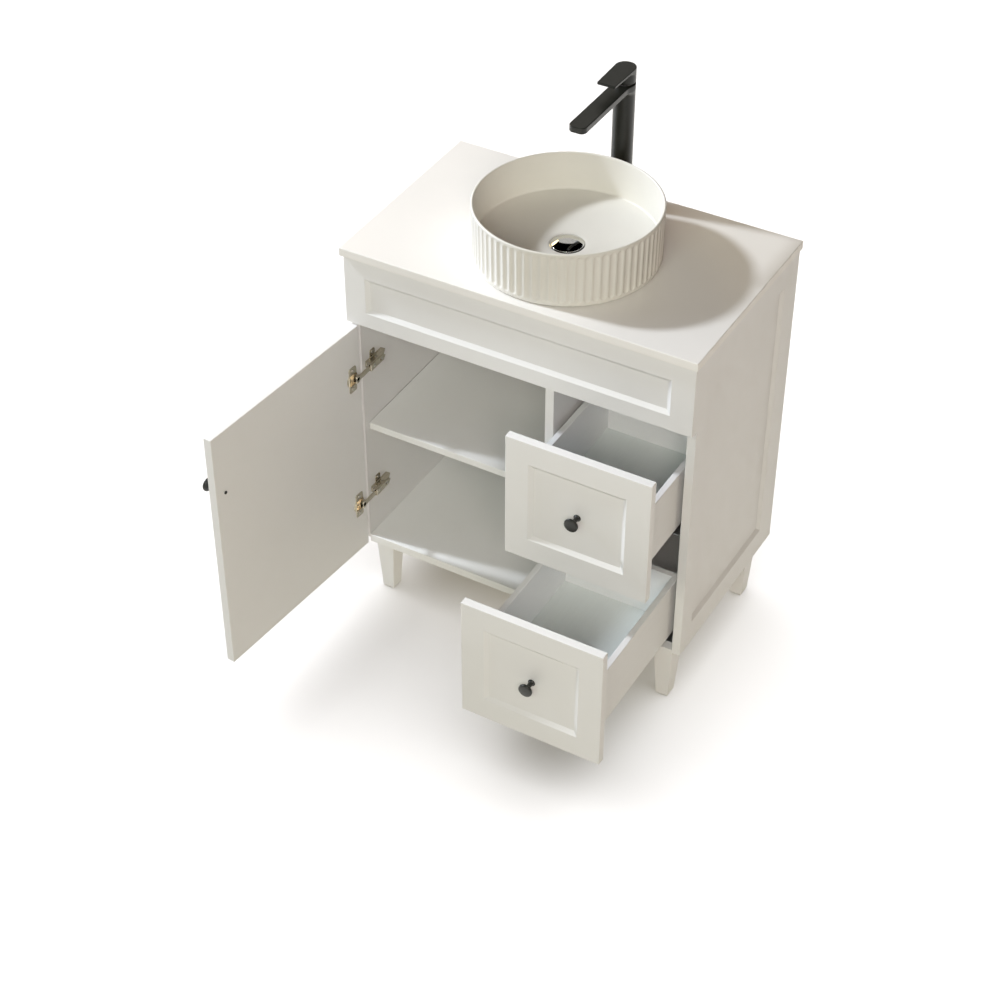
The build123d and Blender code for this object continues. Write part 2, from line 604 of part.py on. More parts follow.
with BuildPart() as hinge_arms:
    for height in HINGE_HEIGHTS:
        channel_half = LINK_HALF + LINK_PLAY[2]
        board(ARM_BACK, ARM_TOP, ARM_FRONT_Y, ARM_REAR_Y, height - ARM_HALF, height + ARM_HALF)
        board(LINK_LOW - LINK_PLAY[0], LINK_HIGH + LINK_PLAY[1], ARM_FRONT_Y, ARM_REAR_Y,
              height - channel_half, height + channel_half, Mode.SUBTRACT)
keep(hinge_arms, "hinge_arms")

with BuildPart() as hinge_links:
    for height in HINGE_HEIGHTS:
        low = height - LINK_HALF
        high = height + LINK_HALF
        board(LINK_LOW, LINK_HIGH, LINK_FRONT_Y, LINK_REAR_Y, low, high)
        board(LINK_LOW - NUB_DEPTH, LINK_LOW, LINK_FRONT_Y, LINK_FRONT_Y + NUB_LENGTH, low, high)
keep(hinge_links, "hinge_links")

# ---- Drawers and their undermount slides ----


def mirrored_boards(x0, x1, y0, y1, z0, z1):
    """A board on the right of the drawer bay and its mirror image on the left."""
    board(x0, x1, y0, y1, z0, z1)
    board(2 * BOX_MIDDLE - x1, 2 * BOX_MIDDLE - x0, y0, y1, z0, z1)


def drawer(name, low, high, pull, knob_height):
    """Drawer with a framed front, box, knob and the moving and fixed members of its slides."""
    outer = FRONT_OUTER - pull
    inner = FRONT_INNER - pull
    rear = inner + BOX_DEPTH
    box_low = low + BOX_LIFT
    box_high = box_low + BOX_HEIGHT
    left = BOX_LEFT + BOX_BOARD
    right = BOX_RIGHT - BOX_BOARD
    face = Plane(origin=(0, outer, 0), x_dir=(1, 0, 0), z_dir=(0, -1, 0))
    seat = placed(face.offset(-FIELD_DEPTH), DRAWER_FRONT_MIDDLE, knob_height)
    screw_face = placed(face.offset(-FRONT_THICKNESS - BOX_BOARD), DRAWER_FRONT_MIDDLE, knob_height)

    with BuildPart() as front:
        board(DRAWER_FRONT_LEFT, CARCASS_HALF, outer, inner, low, high)
        chamfer(front.edges().filter_by(GeomType.LINE), EDGE_CHAMFER)
        sunk_field(face, DRAWER_FRONT_LEFT + FRAME_WIDTH, CARCASS_HALF - FRAME_WIDTH, low + FRAME_WIDTH,
                   high - FRAME_WIDTH)
        with BuildSketch(seat):
            Circle(KNOB_SCREW_HOLE_RADIUS)
        extrude(amount=-FRONT_THICKNESS, mode=Mode.SUBTRACT)
    keep(front, f"{name}_front")

    with BuildPart() as sides:
        board(BOX_LEFT, left, inner, rear, box_low, box_high)
        board(right, BOX_RIGHT, inner, rear, box_low, box_high)
        chamfer(sides.faces().sort_by(Axis.Z)[-2:].edges().filter_by(Axis.Y), EDGE_CHAMFER)
    keep(sides, f"{name}_sides")

    with BuildPart() as inner_front:
        board(left, right, inner, inner + BOX_BOARD, box_low, box_high)
        with BuildSketch(seat):
            Circle(KNOB_SCREW_HOLE_RADIUS)
        extrude(amount=-FRONT_THICKNESS - BOX_BOARD, mode=Mode.SUBTRACT)
    keep(inner_front, f"{name}_inner_front")

    with BuildPart() as back:
        board(left, right, rear - BOX_BOARD, rear, box_low + BOX_BOTTOM_LIFT + BOX_BOTTOM_THICKNESS,
              box_high)
    keep(back, f"{name}_back")

    with BuildPart() as bottom:
        board(left, right, inner + BOX_BOARD, rear, box_low + BOX_BOTTOM_LIFT,
              box_low + BOX_BOTTOM_LIFT + BOX_BOTTOM_THICKNESS)
    keep(bottom, f"{name}_bottom")

    knob(seat, f"{name}_knob")
    knob_screw(screw_face, FRONT_THICKNESS - FIELD_DEPTH + BOX_BOARD, f"{name}_knob_screw")

    foot = box_low - SLIDE_DROP
    runner_right = BOX_RIGHT - BOX_BOARD / 2
    runner_left = runner_right - SLIDE_WIDTH
    rail_rear_y = RAIL_FRONT_Y + SLIDE_LENGTH
    with BuildPart() as cabinet_rails:
        mirrored_boards(runner_left - CABINET_RAIL_FOOT, INNER_HALF, RAIL_FRONT_Y, rail_rear_y, foot,
                        foot + RAIL_SHEET)
        mirrored_boards(INNER_HALF - RAIL_SHEET, INNER_HALF, RAIL_FRONT_Y, rail_rear_y, foot + RAIL_SHEET,
                        foot + CABINET_RAIL_HEIGHT)
    keep(cabinet_rails, f"{name}_cabinet_rails")

    with BuildPart() as middle_rails:
        mirrored_boards(runner_left, runner_right, RAIL_FRONT_Y - pull / 2, rail_rear_y - pull / 2,
                        foot + MIDDLE_RAIL_SPAN[0], foot + MIDDLE_RAIL_SPAN[1])
    keep(middle_rails, f"{name}_middle_rails")

    with BuildPart() as drawer_rails:
        mirrored_boards(runner_left - DRAWER_RAIL_EXTRA, runner_right + DRAWER_RAIL_EXTRA,
                        RAIL_FRONT_Y - pull, rail_rear_y - pull, foot + DRAWER_RAIL_FOOT, foot + SLIDE_DROP)
    keep(drawer_rails, f"{name}_drawer_rails")


drawer("upper", DRAWER_SPLIT + FRONT_GAP / 2, FRONTS_TOP, UPPER_PULL, KNOB_HEIGHT)
drawer("lower", FRONTS_BOTTOM, DRAWER_SPLIT - FRONT_GAP / 2, LOWER_PULL,
       (FRONTS_BOTTOM + DRAWER_SPLIT - FRONT_GAP / 2) / 2)

# ---- Basin and waste ----

BASIN_AXIS = Axis((BASIN_X, BASIN_Y, 0), (0, 0, 1))
BASIN_SECTION = Plane(origin=(BASIN_X, BASIN_Y, 0), x_dir=(1, 0, 0), z_dir=(0, -1, 0))

with BuildPart() as basin:
    foot_corner = (BASIN_FOOT_RADIUS - BASIN_FOOT_EDGE, BASIN_BASE)
    foot_side = (BASIN_FOOT_RADIUS, BASIN_BASE + BASIN_FOOT_EDGE)
    rim_outside = (BASIN_RIM_RADIUS, BASIN_RIM - RIM_ROUND)
    rim_inside = (INNER_WALL_RADIUS, BASIN_RIM - RIM_ROUND)
    wall_foot = (FLOOR_EDGE + BASIN_FLOOR_ROUND, FLOOR_EDGE_Z + BASIN_FLOOR_ROUND)
    recess_z = BASIN_BASE + BASIN_UNDER_RECESS
    seat_z = BASIN_FLOOR - WASTE_FLANGE_THICKNESS
    with BuildSketch(BASIN_SECTION):
        with BuildLine():
            Polyline((HOLE_RADIUS, recess_z), (BASIN_FOOT_INNER_RADIUS, recess_z),
                     (BASIN_FOOT_INNER_RADIUS, BASIN_BASE), foot_corner)
            RadiusArc(foot_corner, foot_side, -BASIN_FOOT_EDGE)
            Line(foot_side, rim_outside)
            ThreePointArc(rim_outside, (BASIN_RIM_RADIUS - RIM_ROUND, BASIN_RIM), rim_inside)
            Line(rim_inside, wall_foot)
            RadiusArc(wall_foot, (FLOOR_EDGE, FLOOR_EDGE_Z), BASIN_FLOOR_ROUND)
            Polyline((FLOOR_EDGE, FLOOR_EDGE_Z), (SEAT_RADIUS, BASIN_FLOOR), (SEAT_RADIUS, seat_z),
                     (HOLE_RADIUS, seat_z), (HOLE_RADIUS, recess_z))
        make_face()
    revolve(axis=BASIN_AXIS)
keep(basin, "basin")


def ring(name, z0, z1, outer_radius, inner_radius, x=BASIN_X, y=BASIN_Y):
    """Flat ring or washer."""
    with BuildPart() as washer:
        rod(x, y, z0, z1, outer_radius)
        rod(x, y, z0, z1, inner_radius, Mode.SUBTRACT)
    keep(washer, name)


def hexagon_nut(name, z0, z1, across_corners, inner_radius, x, y):
    """Six-sided lock nut."""
    with BuildPart() as nut:
        with BuildSketch(Plane.XY.offset(z0)):
            with Locations((x, y)):
                RegularPolygon(across_corners, 6)
        extrude(amount=z1 - z0)
        rod(x, y, z0, z1, inner_radius, Mode.SUBTRACT)
    keep(nut, name)


ring("basin_seal", TOP_HEIGHT, BASIN_BASE, BASIN_FOOT_RADIUS - BASIN_SEAL_INSET,
     BASIN_FOOT_INNER_RADIUS + BASIN_SEAL_WIDEN)

with BuildPart() as waste_body:
    spider_reach = WASTE_BORE_RADIUS + SPIDER_BITE
    rod(BASIN_X, BASIN_Y, BASIN_FLOOR - WASTE_FLANGE_THICKNESS, BASIN_FLOOR, WASTE_FLANGE_RADIUS)
    rod(BASIN_X, BASIN_Y, TUBE_BOTTOM, BASIN_FLOOR, WASTE_TUBE_RADIUS)
    rod(BASIN_X, BASIN_Y, TAIL_BOTTOM, TUBE_BOTTOM, TAIL_RADIUS)
    rod(BASIN_X, BASIN_Y, TUBE_BOTTOM + TUBE_FLOOR, BASIN_FLOOR, WASTE_BORE_RADIUS, Mode.SUBTRACT)
    rod(BASIN_X, BASIN_Y, TAIL_BOTTOM, TUBE_BOTTOM + TUBE_FLOOR, TAIL_BORE_RADIUS, Mode.SUBTRACT)
    board(BASIN_X - spider_reach, BASIN_X + spider_reach, BASIN_Y - SPIDER_HALF, BASIN_Y + SPIDER_HALF,
          SPIDER_LOW, SPIDER_HIGH)
    board(BASIN_X - SPIDER_HALF, BASIN_X + SPIDER_HALF, BASIN_Y - spider_reach, BASIN_Y + spider_reach,
          SPIDER_LOW, SPIDER_HIGH)
    rod(BASIN_X, BASIN_Y, SPIDER_LOW, SPIDER_HIGH, STOPPER_STEM_RADIUS + SPIDER_HUB)
    rod(BASIN_X, BASIN_Y, SPIDER_LOW, SPIDER_HIGH, STOPPER_STEM_RADIUS + PIN, Mode.SUBTRACT)
keep(waste_body, "waste_body")

waste_seal_low = CARCASS_TOP - WASTE_SEAL_THICKNESS
ring("waste_seal", waste_seal_low, CARCASS_TOP, WASTE_TUBE_RADIUS + WASTE_SEAL_WIDTH, WASTE_TUBE_RADIUS)
hexagon_nut("waste_nut", waste_seal_low - WASTE_NUT_HEIGHT, waste_seal_low,
            WASTE_TUBE_RADIUS + WASTE_NUT_WIDTH, WASTE_TUBE_RADIUS, BASIN_X, BASIN_Y)

with BuildPart() as stopper:
    cap_low = BASIN_FLOOR + STOPPER_GAP
    cap_high = cap_low + STOPPER_CAP_HEIGHT
    cap_edge = cap_low + STOPPER_EDGE[1]
    with BuildSketch(BASIN_SECTION):
        with BuildLine():
            Polyline((0, cap_low), (STOPPER_RADIUS - STOPPER_EDGE[0], cap_low), (STOPPER_RADIUS, cap_edge))
            dome_arc(STOPPER_RADIUS, cap_edge, cap_high)
            Line((0, cap_high), (0, cap_low))
        make_face()
    revolve(axis=BASIN_AXIS)
    rod(BASIN_X, BASIN_Y, SPIDER_LOW - STOPPER_LIFT, cap_low, STOPPER_STEM_RADIUS)
keep(stopper, "stopper")

# ---- Mixer tap ----

ring("tap_base_ring", TOP_HEIGHT, TAP_BASE, TAP_RADIUS + TAP_BASE_WIDTH, SHANK_RADIUS, TAP_X, TAP_Y)

with BuildPart() as tap_body:
    rod(TAP_X, TAP_Y, TAP_BASE, TAP_BODY_TOP, TAP_RADIUS)
    with BuildSketch(Plane.XY.offset(SPOUT_LOW)):
        with Locations((TAP_X, (TAP_Y + SPOUT_FRONT) / 2)):
            Rectangle(SPOUT_WIDTH, SPOUT_REACH)
    extrude(amount=SPOUT_THICKNESS)
    fillet(tap_body.edges().filter_by(Axis.Z).group_by(Axis.Y)[0], SPOUT_CORNER)
    rod(TAP_X, TAP_Y, TAP_BODY_TOP - CARTRIDGE_DEPTH, TAP_BODY_TOP, CARTRIDGE_RADIUS, Mode.SUBTRACT)
    rod(TAP_X, TAP_Y, TAP_BASE, TAP_BASE + SHANK_SOCKET, SHANK_RADIUS, Mode.SUBTRACT)
    rod(TAP_X, AERATOR_Y, SPOUT_LOW, SPOUT_LOW + AERATOR_DEPTH, AERATOR_RADIUS, Mode.SUBTRACT)
keep(tap_body, "tap_body")

ring("tap_aerator", SPOUT_LOW - AERATOR_STAND, SPOUT_LOW + AERATOR_DEPTH, AERATOR_RADIUS, AERATOR_BORE_RADIUS,
     TAP_X, AERATOR_Y)

with BuildPart() as tap_cartridge:
    rod(TAP_X, TAP_Y, TAP_BODY_TOP - CARTRIDGE_DEPTH, TAP_BODY_TOP, CARTRIDGE_RADIUS)
    rod(TAP_X, TAP_Y, TAP_BODY_TOP - SPINDLE_DEPTH, TAP_BODY_TOP, SPINDLE_RADIUS + PIN, Mode.SUBTRACT)
keep(tap_cartridge, "tap_cartridge")

with BuildPart() as tap_shank:
    rod(TAP_X, TAP_Y, SHANK_BOTTOM, TAP_BASE + SHANK_SOCKET, SHANK_RADIUS)
    for side in (-1, 1):
        rod(TAP_X + side * HOSE_OFFSET, TAP_Y, SHANK_BOTTOM, SHANK_BOTTOM + HOSE_DEPTH, HOSE_THREAD_RADIUS,
            Mode.SUBTRACT)
keep(tap_shank, "tap_shank")

hexagon_nut("tap_nut", CARCASS_TOP - TAP_NUT_HEIGHT, CARCASS_TOP, SHANK_RADIUS + TAP_NUT_WIDTH, SHANK_RADIUS,
            TAP_X, TAP_Y)

# The handle turns on the stem and lifts about a cross pin at the back of it.
pin_plane = Plane.YZ.offset(TAP_X)

with BuildPart() as tap_stem:
    lug_front = TAP_Y - LUG_FRONT
    lug_low = STEM_DISC[1] - LUG_BITE
    lug_high = LIFT_PIN_Z + LUG_ROUND
    rod(TAP_X, TAP_Y, TAP_BODY_TOP - SPINDLE_DEPTH + SPINDLE_PLAY, STEM_DISC[1], SPINDLE_RADIUS)
    rod(TAP_X, TAP_Y, *STEM_DISC, STEM_DISC_RADIUS)
    with BuildSketch(pin_plane.offset(-LUG_HALF)):
        with Locations(((lug_front + LIFT_PIN_Y) / 2, (lug_low + lug_high) / 2)):
            Rectangle(LIFT_PIN_Y - lug_front, lug_high - lug_low)
        with Locations((LIFT_PIN_Y, LIFT_PIN_Z)):
            Circle(LUG_ROUND)
    extrude(amount=2 * LUG_HALF)
    with BuildSketch(pin_plane.offset(-LUG_HALF)):
        with Locations((LIFT_PIN_Y, LIFT_PIN_Z)):
            Circle(LIFT_PIN_RADIUS + PIN)
    extrude(amount=2 * LUG_HALF, mode=Mode.SUBTRACT)
keep(tap_stem, "tap_stem")

with BuildPart() as tap_handle:
    rod(TAP_X, TAP_Y, HANDLE_LOW, TAP_HANDLE_TOP, TAP_RADIUS)
    with BuildSketch(Plane.XY.offset(TAP_HANDLE_TOP - LEVER_THICKNESS)):
        with Locations((TAP_X, TAP_Y - LEVER_REACH / 2)):
            Rectangle(LEVER_WIDTH, LEVER_REACH)
    extrude(amount=LEVER_THICKNESS)
    fillet(tap_handle.edges().filter_by(Axis.Z).group_by(Axis.Y)[0], LEVER_CORNER)
    rod(TAP_X, TAP_Y, HANDLE_LOW, CAVITY_TOP, HANDLE_CAVITY_RADIUS, Mode.SUBTRACT)
    board(TAP_X - SLOT_HALF, TAP_X + SLOT_HALF, TAP_Y, SLOT_BACK, HANDLE_LOW, CAVITY_TOP, Mode.SUBTRACT)
    with BuildSketch(pin_plane.offset(-LIFT_PIN_HALF)):
        with Locations((LIFT_PIN_Y, LIFT_PIN_Z)):
            Circle(LIFT_PIN_RADIUS)
    extrude(amount=2 * LIFT_PIN_HALF, mode=Mode.SUBTRACT)
keep(tap_handle, "tap_handle")

with BuildPart() as tap_handle_pin:
    with BuildSketch(pin_plane.offset(-LIFT_PIN_HALF)):
        with Locations((LIFT_PIN_Y, LIFT_PIN_Z)):
            Circle(LIFT_PIN_RADIUS)
    extrude(amount=2 * LIFT_PIN_HALF)
keep(tap_handle_pin, "tap_handle_pin")
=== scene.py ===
import json
import math

import bmesh
import bpy
import numpy as np
import openvdb
from mathutils import Matrix, Vector


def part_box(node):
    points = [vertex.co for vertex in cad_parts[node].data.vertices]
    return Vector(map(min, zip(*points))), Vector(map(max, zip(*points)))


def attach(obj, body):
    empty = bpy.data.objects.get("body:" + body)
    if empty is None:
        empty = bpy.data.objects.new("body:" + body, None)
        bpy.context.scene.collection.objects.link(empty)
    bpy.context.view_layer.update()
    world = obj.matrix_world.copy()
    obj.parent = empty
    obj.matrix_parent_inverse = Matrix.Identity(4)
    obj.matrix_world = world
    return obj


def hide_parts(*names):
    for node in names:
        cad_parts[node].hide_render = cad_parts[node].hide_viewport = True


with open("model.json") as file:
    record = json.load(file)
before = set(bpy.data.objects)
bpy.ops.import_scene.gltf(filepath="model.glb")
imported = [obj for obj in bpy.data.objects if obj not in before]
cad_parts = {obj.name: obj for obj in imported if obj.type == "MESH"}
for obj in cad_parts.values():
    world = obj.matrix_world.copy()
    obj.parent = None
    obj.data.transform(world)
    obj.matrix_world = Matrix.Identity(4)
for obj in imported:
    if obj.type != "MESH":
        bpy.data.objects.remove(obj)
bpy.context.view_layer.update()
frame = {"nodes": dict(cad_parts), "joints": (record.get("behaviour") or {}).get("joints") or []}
nodes = frame["nodes"]
joints = {joint["name"]: joint for joint in frame["joints"]}

MM = 0.001  # lengths below are in millimetres, and meshes are in metres


# ---- Places taken from the frame, in millimetres ----

def box_mm(node):
    """Lowest and highest corner of a CAD node at rest, in millimetres."""
    low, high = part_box(node)
    return low / MM, high / MM


def middle_mm(node):
    """Middle of a CAD node's box at rest, in millimetres."""
    low, high = box_mm(node)
    return (low + high) / 2


hinge_point = Vector(joints["door_hinge"]["pos_m"]) / MM
door_open_angle = math.radians(joints["door_hinge"]["range_deg"][1])
# Moves a point of the closed door to where the open door holds it.
open_door = (
    Matrix.Translation(hinge_point)
    @ Matrix.Rotation(-door_open_angle, 4, "Z")
    @ Matrix.Translation(-hinge_point)
)


# ---- Mesh tools ----

SAME_POINT = 1e-4
ON_AXIS = 1e-6
STRAIGHT = math.pi - 1e-3


def add_object(name, data):
    """Object in the scene with the given mesh, light or camera."""
    made = bpy.data.objects.new(name, data)
    bpy.context.scene.collection.objects.link(made)
    return made


def finish_mesh(name, points, faces, body, material, transform=None, sharp_angle=40.0):
    """Make one piece from points in millimetres, and let it ride on a body."""
    mesh = bpy.data.meshes.new(name)
    mesh.from_pydata([tuple(p) for p in points], [], [tuple(f) for f in faces])
    edit = bmesh.new()
    edit.from_mesh(mesh)
    bmesh.ops.remove_doubles(edit, verts=edit.verts, dist=SAME_POINT)
    bmesh.ops.recalc_face_normals(edit, faces=edit.faces)
    edit.to_mesh(mesh)
    edit.free()
    if transform is not None:
        mesh.transform(transform)
    mesh.transform(Matrix.Scale(MM, 4))
    mesh.shade_smooth()
    mesh.set_sharp_from_angle(angle=math.radians(sharp_angle))
    piece = add_object(name, mesh)
    mesh.materials.append(materials[material])
    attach(piece, body)
    return piece


def filleted(corners, steps=5):
    """Points of a closed outline whose corners (x, y, radius) are rounded by arcs."""
    count = len(corners)
    points = []
    for index, (x, y, radius) in enumerate(corners):
        corner = Vector((x, y))
        back = Vector(corners[index - 1][:2]) - corner
        ahead = Vector(corners[(index + 1) % count][:2]) - corner
        turn = back.angle(ahead)
        if radius <= 0 or turn > STRAIGHT:
            points.append((x, y))
            continue
        reach = min(radius / math.tan(turn / 2), 0.49 * back.length, 0.49 * ahead.length)
        round_radius = reach * math.tan(turn / 2)
        centre = corner + (back.normalized() + ahead.normalized()).normalized() * (
            round_radius / math.sin(turn / 2)
        )
        start = corner + back.normalized() * reach - centre
        end = corner + ahead.normalized() * reach - centre
        sweep = start.angle_signed(end)
        for step in range(steps + 1):
            spoke = start.copy()
            spoke.rotate(Matrix.Rotation(-sweep * step / steps, 2))
            points.append(tuple(centre + spoke))
    return points


def lathe(name, profile, body, material, transform=None, steps=96, closed=True, sharp_angle=40.0, dent=None):
    """Turn a (radius, height) outline about the z axis; one that isn't closed ends on the axis.

    dent gives how far the point of a row and a step is pressed in.
    """
    rings = []
    points = []
    for row, (radius, height) in enumerate(profile):
        if radius < ON_AXIS:
            rings.append([len(points)] * steps)
            points.append((0.0, 0.0, height))
            continue
        rings.append(list(range(len(points), len(points) + steps)))
        for step in range(steps):
            angle = 2 * math.pi * step / steps
            r = radius - dent(row, step) if dent else radius
            points.append((r * math.cos(angle), r * math.sin(angle), height))
    faces = []
    last = len(rings) if closed else len(rings) - 1
    for index in range(last):
        lower = rings[index]
        upper = rings[(index + 1) % len(rings)]
        for step in range(steps):
            after = (step + 1) % steps
            face = []
            for vertex in (lower[step], lower[after], upper[after], upper[step]):
                if vertex not in face:
                    face.append(vertex)
            if len(face) > 2:
                faces.append(face)
    return finish_mesh(name, points, faces, body, material, transform, sharp_angle)


def prism(name, outline, low, high, body, material, transform=None, bevel=0.0, copies=(Matrix(),)):
    """Extrude an outline in x and y from low to high, once for each copy's transform, with rounded edges."""
    points = []
    faces = []
    for copy in copies:
        start = len(points)
        count = len(outline)
        for height in (low, high):
            for x, y in outline:
                point = Vector((x, y, height))
                points.append(copy @ point)
        faces.append([start + i for i in range(count)])
        faces.append([start + count + i for i in range(count)])
        for i in range(count):
            after = (i + 1) % count
            faces.append([start + i, start + after, start + count + after, start + count + i])
    piece = finish_mesh(name, points, faces, body, material, transform)
    if bevel:
        round_edges(piece, bevel, 3)
    return piece


def round_edges(piece, width, segments=2, weld=False):
    """Round every sharp edge of a piece by a width in millimetres."""
    if weld:
        merge = piece.modifiers.new("merge", "WELD")
        merge.merge_threshold = 1e-6
    bevel = piece.modifiers.new("round", "BEVEL")
    bevel.width = width * MM
    bevel.segments = segments
    bevel.limit_method = "ANGLE"
    bevel.angle_limit = math.radians(28)
    bevel.use_clamp_overlap = True
    normals = piece.modifiers.new("normals", "WEIGHTED_NORMAL")
    normals.weight = 90


# ---- Solid fields: distances to a surface in millimetres, below zero inside ----

def rounded_corner(first, second, radius):
    """Corner between two faces, given by the distances outside them, with a radius."""
    dx = first + radius
    dy = second + radius
    outside = np.sqrt(np.maximum(dx, 0) ** 2 + np.maximum(dy, 0) ** 2)
    return outside + np.minimum(np.maximum(dx, dy), 0) - radius


def box_field(x, y, z, centre, half, radius):
    """Box with rounded edges."""
    dx = np.abs(x - centre[0]) - half[0] + radius
    dy = np.abs(y - centre[1]) - half[1] + radius
    dz = np.abs(z - centre[2]) - half[2] + radius
    outside = np.sqrt(np.maximum(dx, 0) ** 2 + np.maximum(dy, 0) ** 2 + np.maximum(dz, 0) ** 2)
    return outside + np.minimum(np.maximum(dx, np.maximum(dy, dz)), 0) - radius


def disc_field(across, along, middle, radius, half, edge):
    """Cylinder with rounded rims; across is the distance from its axis."""
    return rounded_corner(across - radius, np.abs(along - middle) - half, edge)


def slot_field(x, y, half_x, half_y, corner):
    """Endless rectangular column with rounded corners."""
    return rounded_corner(np.abs(x) - half_x, np.abs(y) - half_y, corner)


def joined(first, second, blend):
    """Union of two fields with a fillet where they meet."""
    share = np.clip(0.5 + 0.5 * (second - first) / blend, 0, 1)
    return second * (1 - share) + first * share - blend * share * (1 - share)


def cut(body, tool, blend):
    """Body less the tool, with a rounded edge."""
    return -joined(-body, tool, blend)


def field_piece(name, field, low, high, cell, body, material, transform=None):
    """Closed mesh on which a field is zero."""
    low = np.array(low, float)
    counts = np.ceil((np.array(high, float) - low) / cell).astype(int) + 1
    axes = [low[i] + cell * np.arange(counts[i]) for i in range(3)]
    x, y, z = np.meshgrid(*axes, indexing="ij")
    grid = openvdb.FloatGrid(float(cell))
    grid.copyFromArray(field(x, y, z).astype(np.float32))
    points, triangles, quads = grid.convertToPolygons(isovalue=0.0, adaptivity=0.0)
    faces = [tuple(int(v) for v in face) for face in list(quads) + list(triangles)]
    return finish_mesh(name, points * cell + low, faces, body, material, transform, sharp_angle=180.0)


# ---- Materials ----

NOISE_RANGE = (0.3, 0.7)  # where most of a noise's values lie
materials = {}


def shader(name):
    """A material with its nodes, its principled shader and the object's own coordinates."""
    made = bpy.data.materials.new(name)
    made.use_nodes = True
    tree = made.node_tree
    principled = tree.nodes["Principled BSDF"]
    place = tree.nodes.new("ShaderNodeTexCoord").outputs["Object"]
    materials[name] = made
    return tree, principled, place


def scaled_place(tree, place, scale):
    """Coordinates stretched by a scale along each axis."""
    mapping = tree.nodes.new("ShaderNodeMapping")
    mapping.inputs["Scale"].default_value = scale
    tree.links.new(place, mapping.inputs["Vector"])
    return mapping.outputs["Vector"]


def noise(tree, place, scale, detail=4.0, roughness=0.55):
    """Cloudy noise; scale is in waves per metre."""
    node = tree.nodes.new("ShaderNodeTexNoise")
    node.inputs["Scale"].default_value = scale
    node.inputs["Detail"].default_value = detail
    node.inputs["Roughness"].default_value = roughness
    tree.links.new(place, node.inputs["Vector"])
    return node.outputs["Fac"]


def colour_between(tree, principled, factor, *colours):
    """Base colour that wanders between two colours."""
    ramp = tree.nodes.new("ShaderNodeValToRGB")
    for element, position, colour in zip(ramp.color_ramp.elements, NOISE_RANGE, colours):
        element.position = position
        element.color = (*colour, 1)
    tree.links.new(factor, ramp.inputs["Fac"])
    tree.links.new(ramp.outputs["Color"], principled.inputs["Base Color"])
    return ramp


def remapped(tree, value, old_range, new_range):
    """Value stretched from one range onto another."""
    spread = tree.nodes.new("ShaderNodeMapRange")
    for end, old, new in zip(("Min", "Max"), old_range, new_range):
        spread.inputs[f"From {end}"].default_value = old
        spread.inputs[f"To {end}"].default_value = new
    tree.links.new(value, spread.inputs["Value"])
    return spread.outputs["Result"]


def roughness_between(tree, principled, factor, low, high):
    """Roughness that wanders between two values."""
    tree.links.new(remapped(tree, factor, NOISE_RANGE, (low, high)), principled.inputs["Roughness"])


def relief(tree, principled, height, depth_mm, strength=1.0, below=None):
    """Fine relief of a depth in millimetres, on top of another relief if one is given."""
    bump = tree.nodes.new("ShaderNodeBump")
    bump.inputs["Strength"].default_value = strength
    bump.inputs["Distance"].default_value = depth_mm * MM
    tree.links.new(height, bump.inputs["Height"])
    if below is not None:
        tree.links.new(below, bump.inputs["Normal"])
    tree.links.new(bump.outputs["Normal"], principled.inputs["Normal"])
    return bump.outputs["Normal"]


def lacquer(name, colour, roughness, peel_mm):
    """Sprayed satin lacquer: faint clouds of tone and a very fine orange peel."""
    tree, principled, place = shader(name)
    clouds = noise(tree, place, 9.0, 5.0)
    darker = tuple(c * 0.985 for c in colour)
    colour_between(tree, principled, clouds, darker, colour)
    roughness_between(tree, principled, noise(tree, place, 40.0), roughness - 0.05, roughness + 0.06)
    peel = relief(tree, principled, noise(tree, place, 420.0, 2.0), peel_mm, 0.35)
    relief(tree, principled, noise(tree, place, 2600.0, 2.0), peel_mm / 3, 0.2, peel)
    principled.inputs["Specular IOR Level"].default_value = 0.42


def melamine(name, colour, roughness):
    """Printed board: short pressed grain along y and a faint change of tone."""
    tree, principled, place = shader(name)
    grain = noise(tree, scaled_place(tree, place, (320.0, 26.0, 320.0)), 1.0, 6.0, 0.6)
    darker = tuple(c * 0.965 for c in colour)
    colour_between(tree, principled, grain, darker, colour)
    roughness_between(tree, principled, grain, roughness - 0.05, roughness + 0.08)
    relief(tree, principled, grain, 0.03, 0.4)


def stone(name, colour):
    """Honed engineered stone: soft clouds with sparse fine specks."""
    tree, principled, place = shader(name)
    clouds = noise(tree, place, 6.0, 6.0)
    ramp = colour_between(tree, principled, clouds, tuple(c * 0.975 for c in colour), colour)
    specks = tree.nodes.new("ShaderNodeTexVoronoi")
    specks.inputs["Scale"].default_value = 260.0
    tree.links.new(place, specks.inputs["Vector"])
    near = remapped(tree, specks.outputs["Distance"], (0.05, 0.16), (0.10, 0.0))
    mixed = tree.nodes.new("ShaderNodeMix")
    mixed.data_type = "RGBA"
    mixed.inputs["B"].default_value = (*(c * 0.72 for c in colour), 1)
    tree.links.new(near, mixed.inputs["Factor"])
    tree.links.new(ramp.outputs["Color"], mixed.inputs["A"])
    tree.links.new(mixed.outputs["Result"], principled.inputs["Base Color"])
    roughness_between(tree, principled, noise(tree, place, 55.0), 0.33, 0.45)
    relief(tree, principled, noise(tree, place, 700.0, 3.0), 0.03, 0.3)


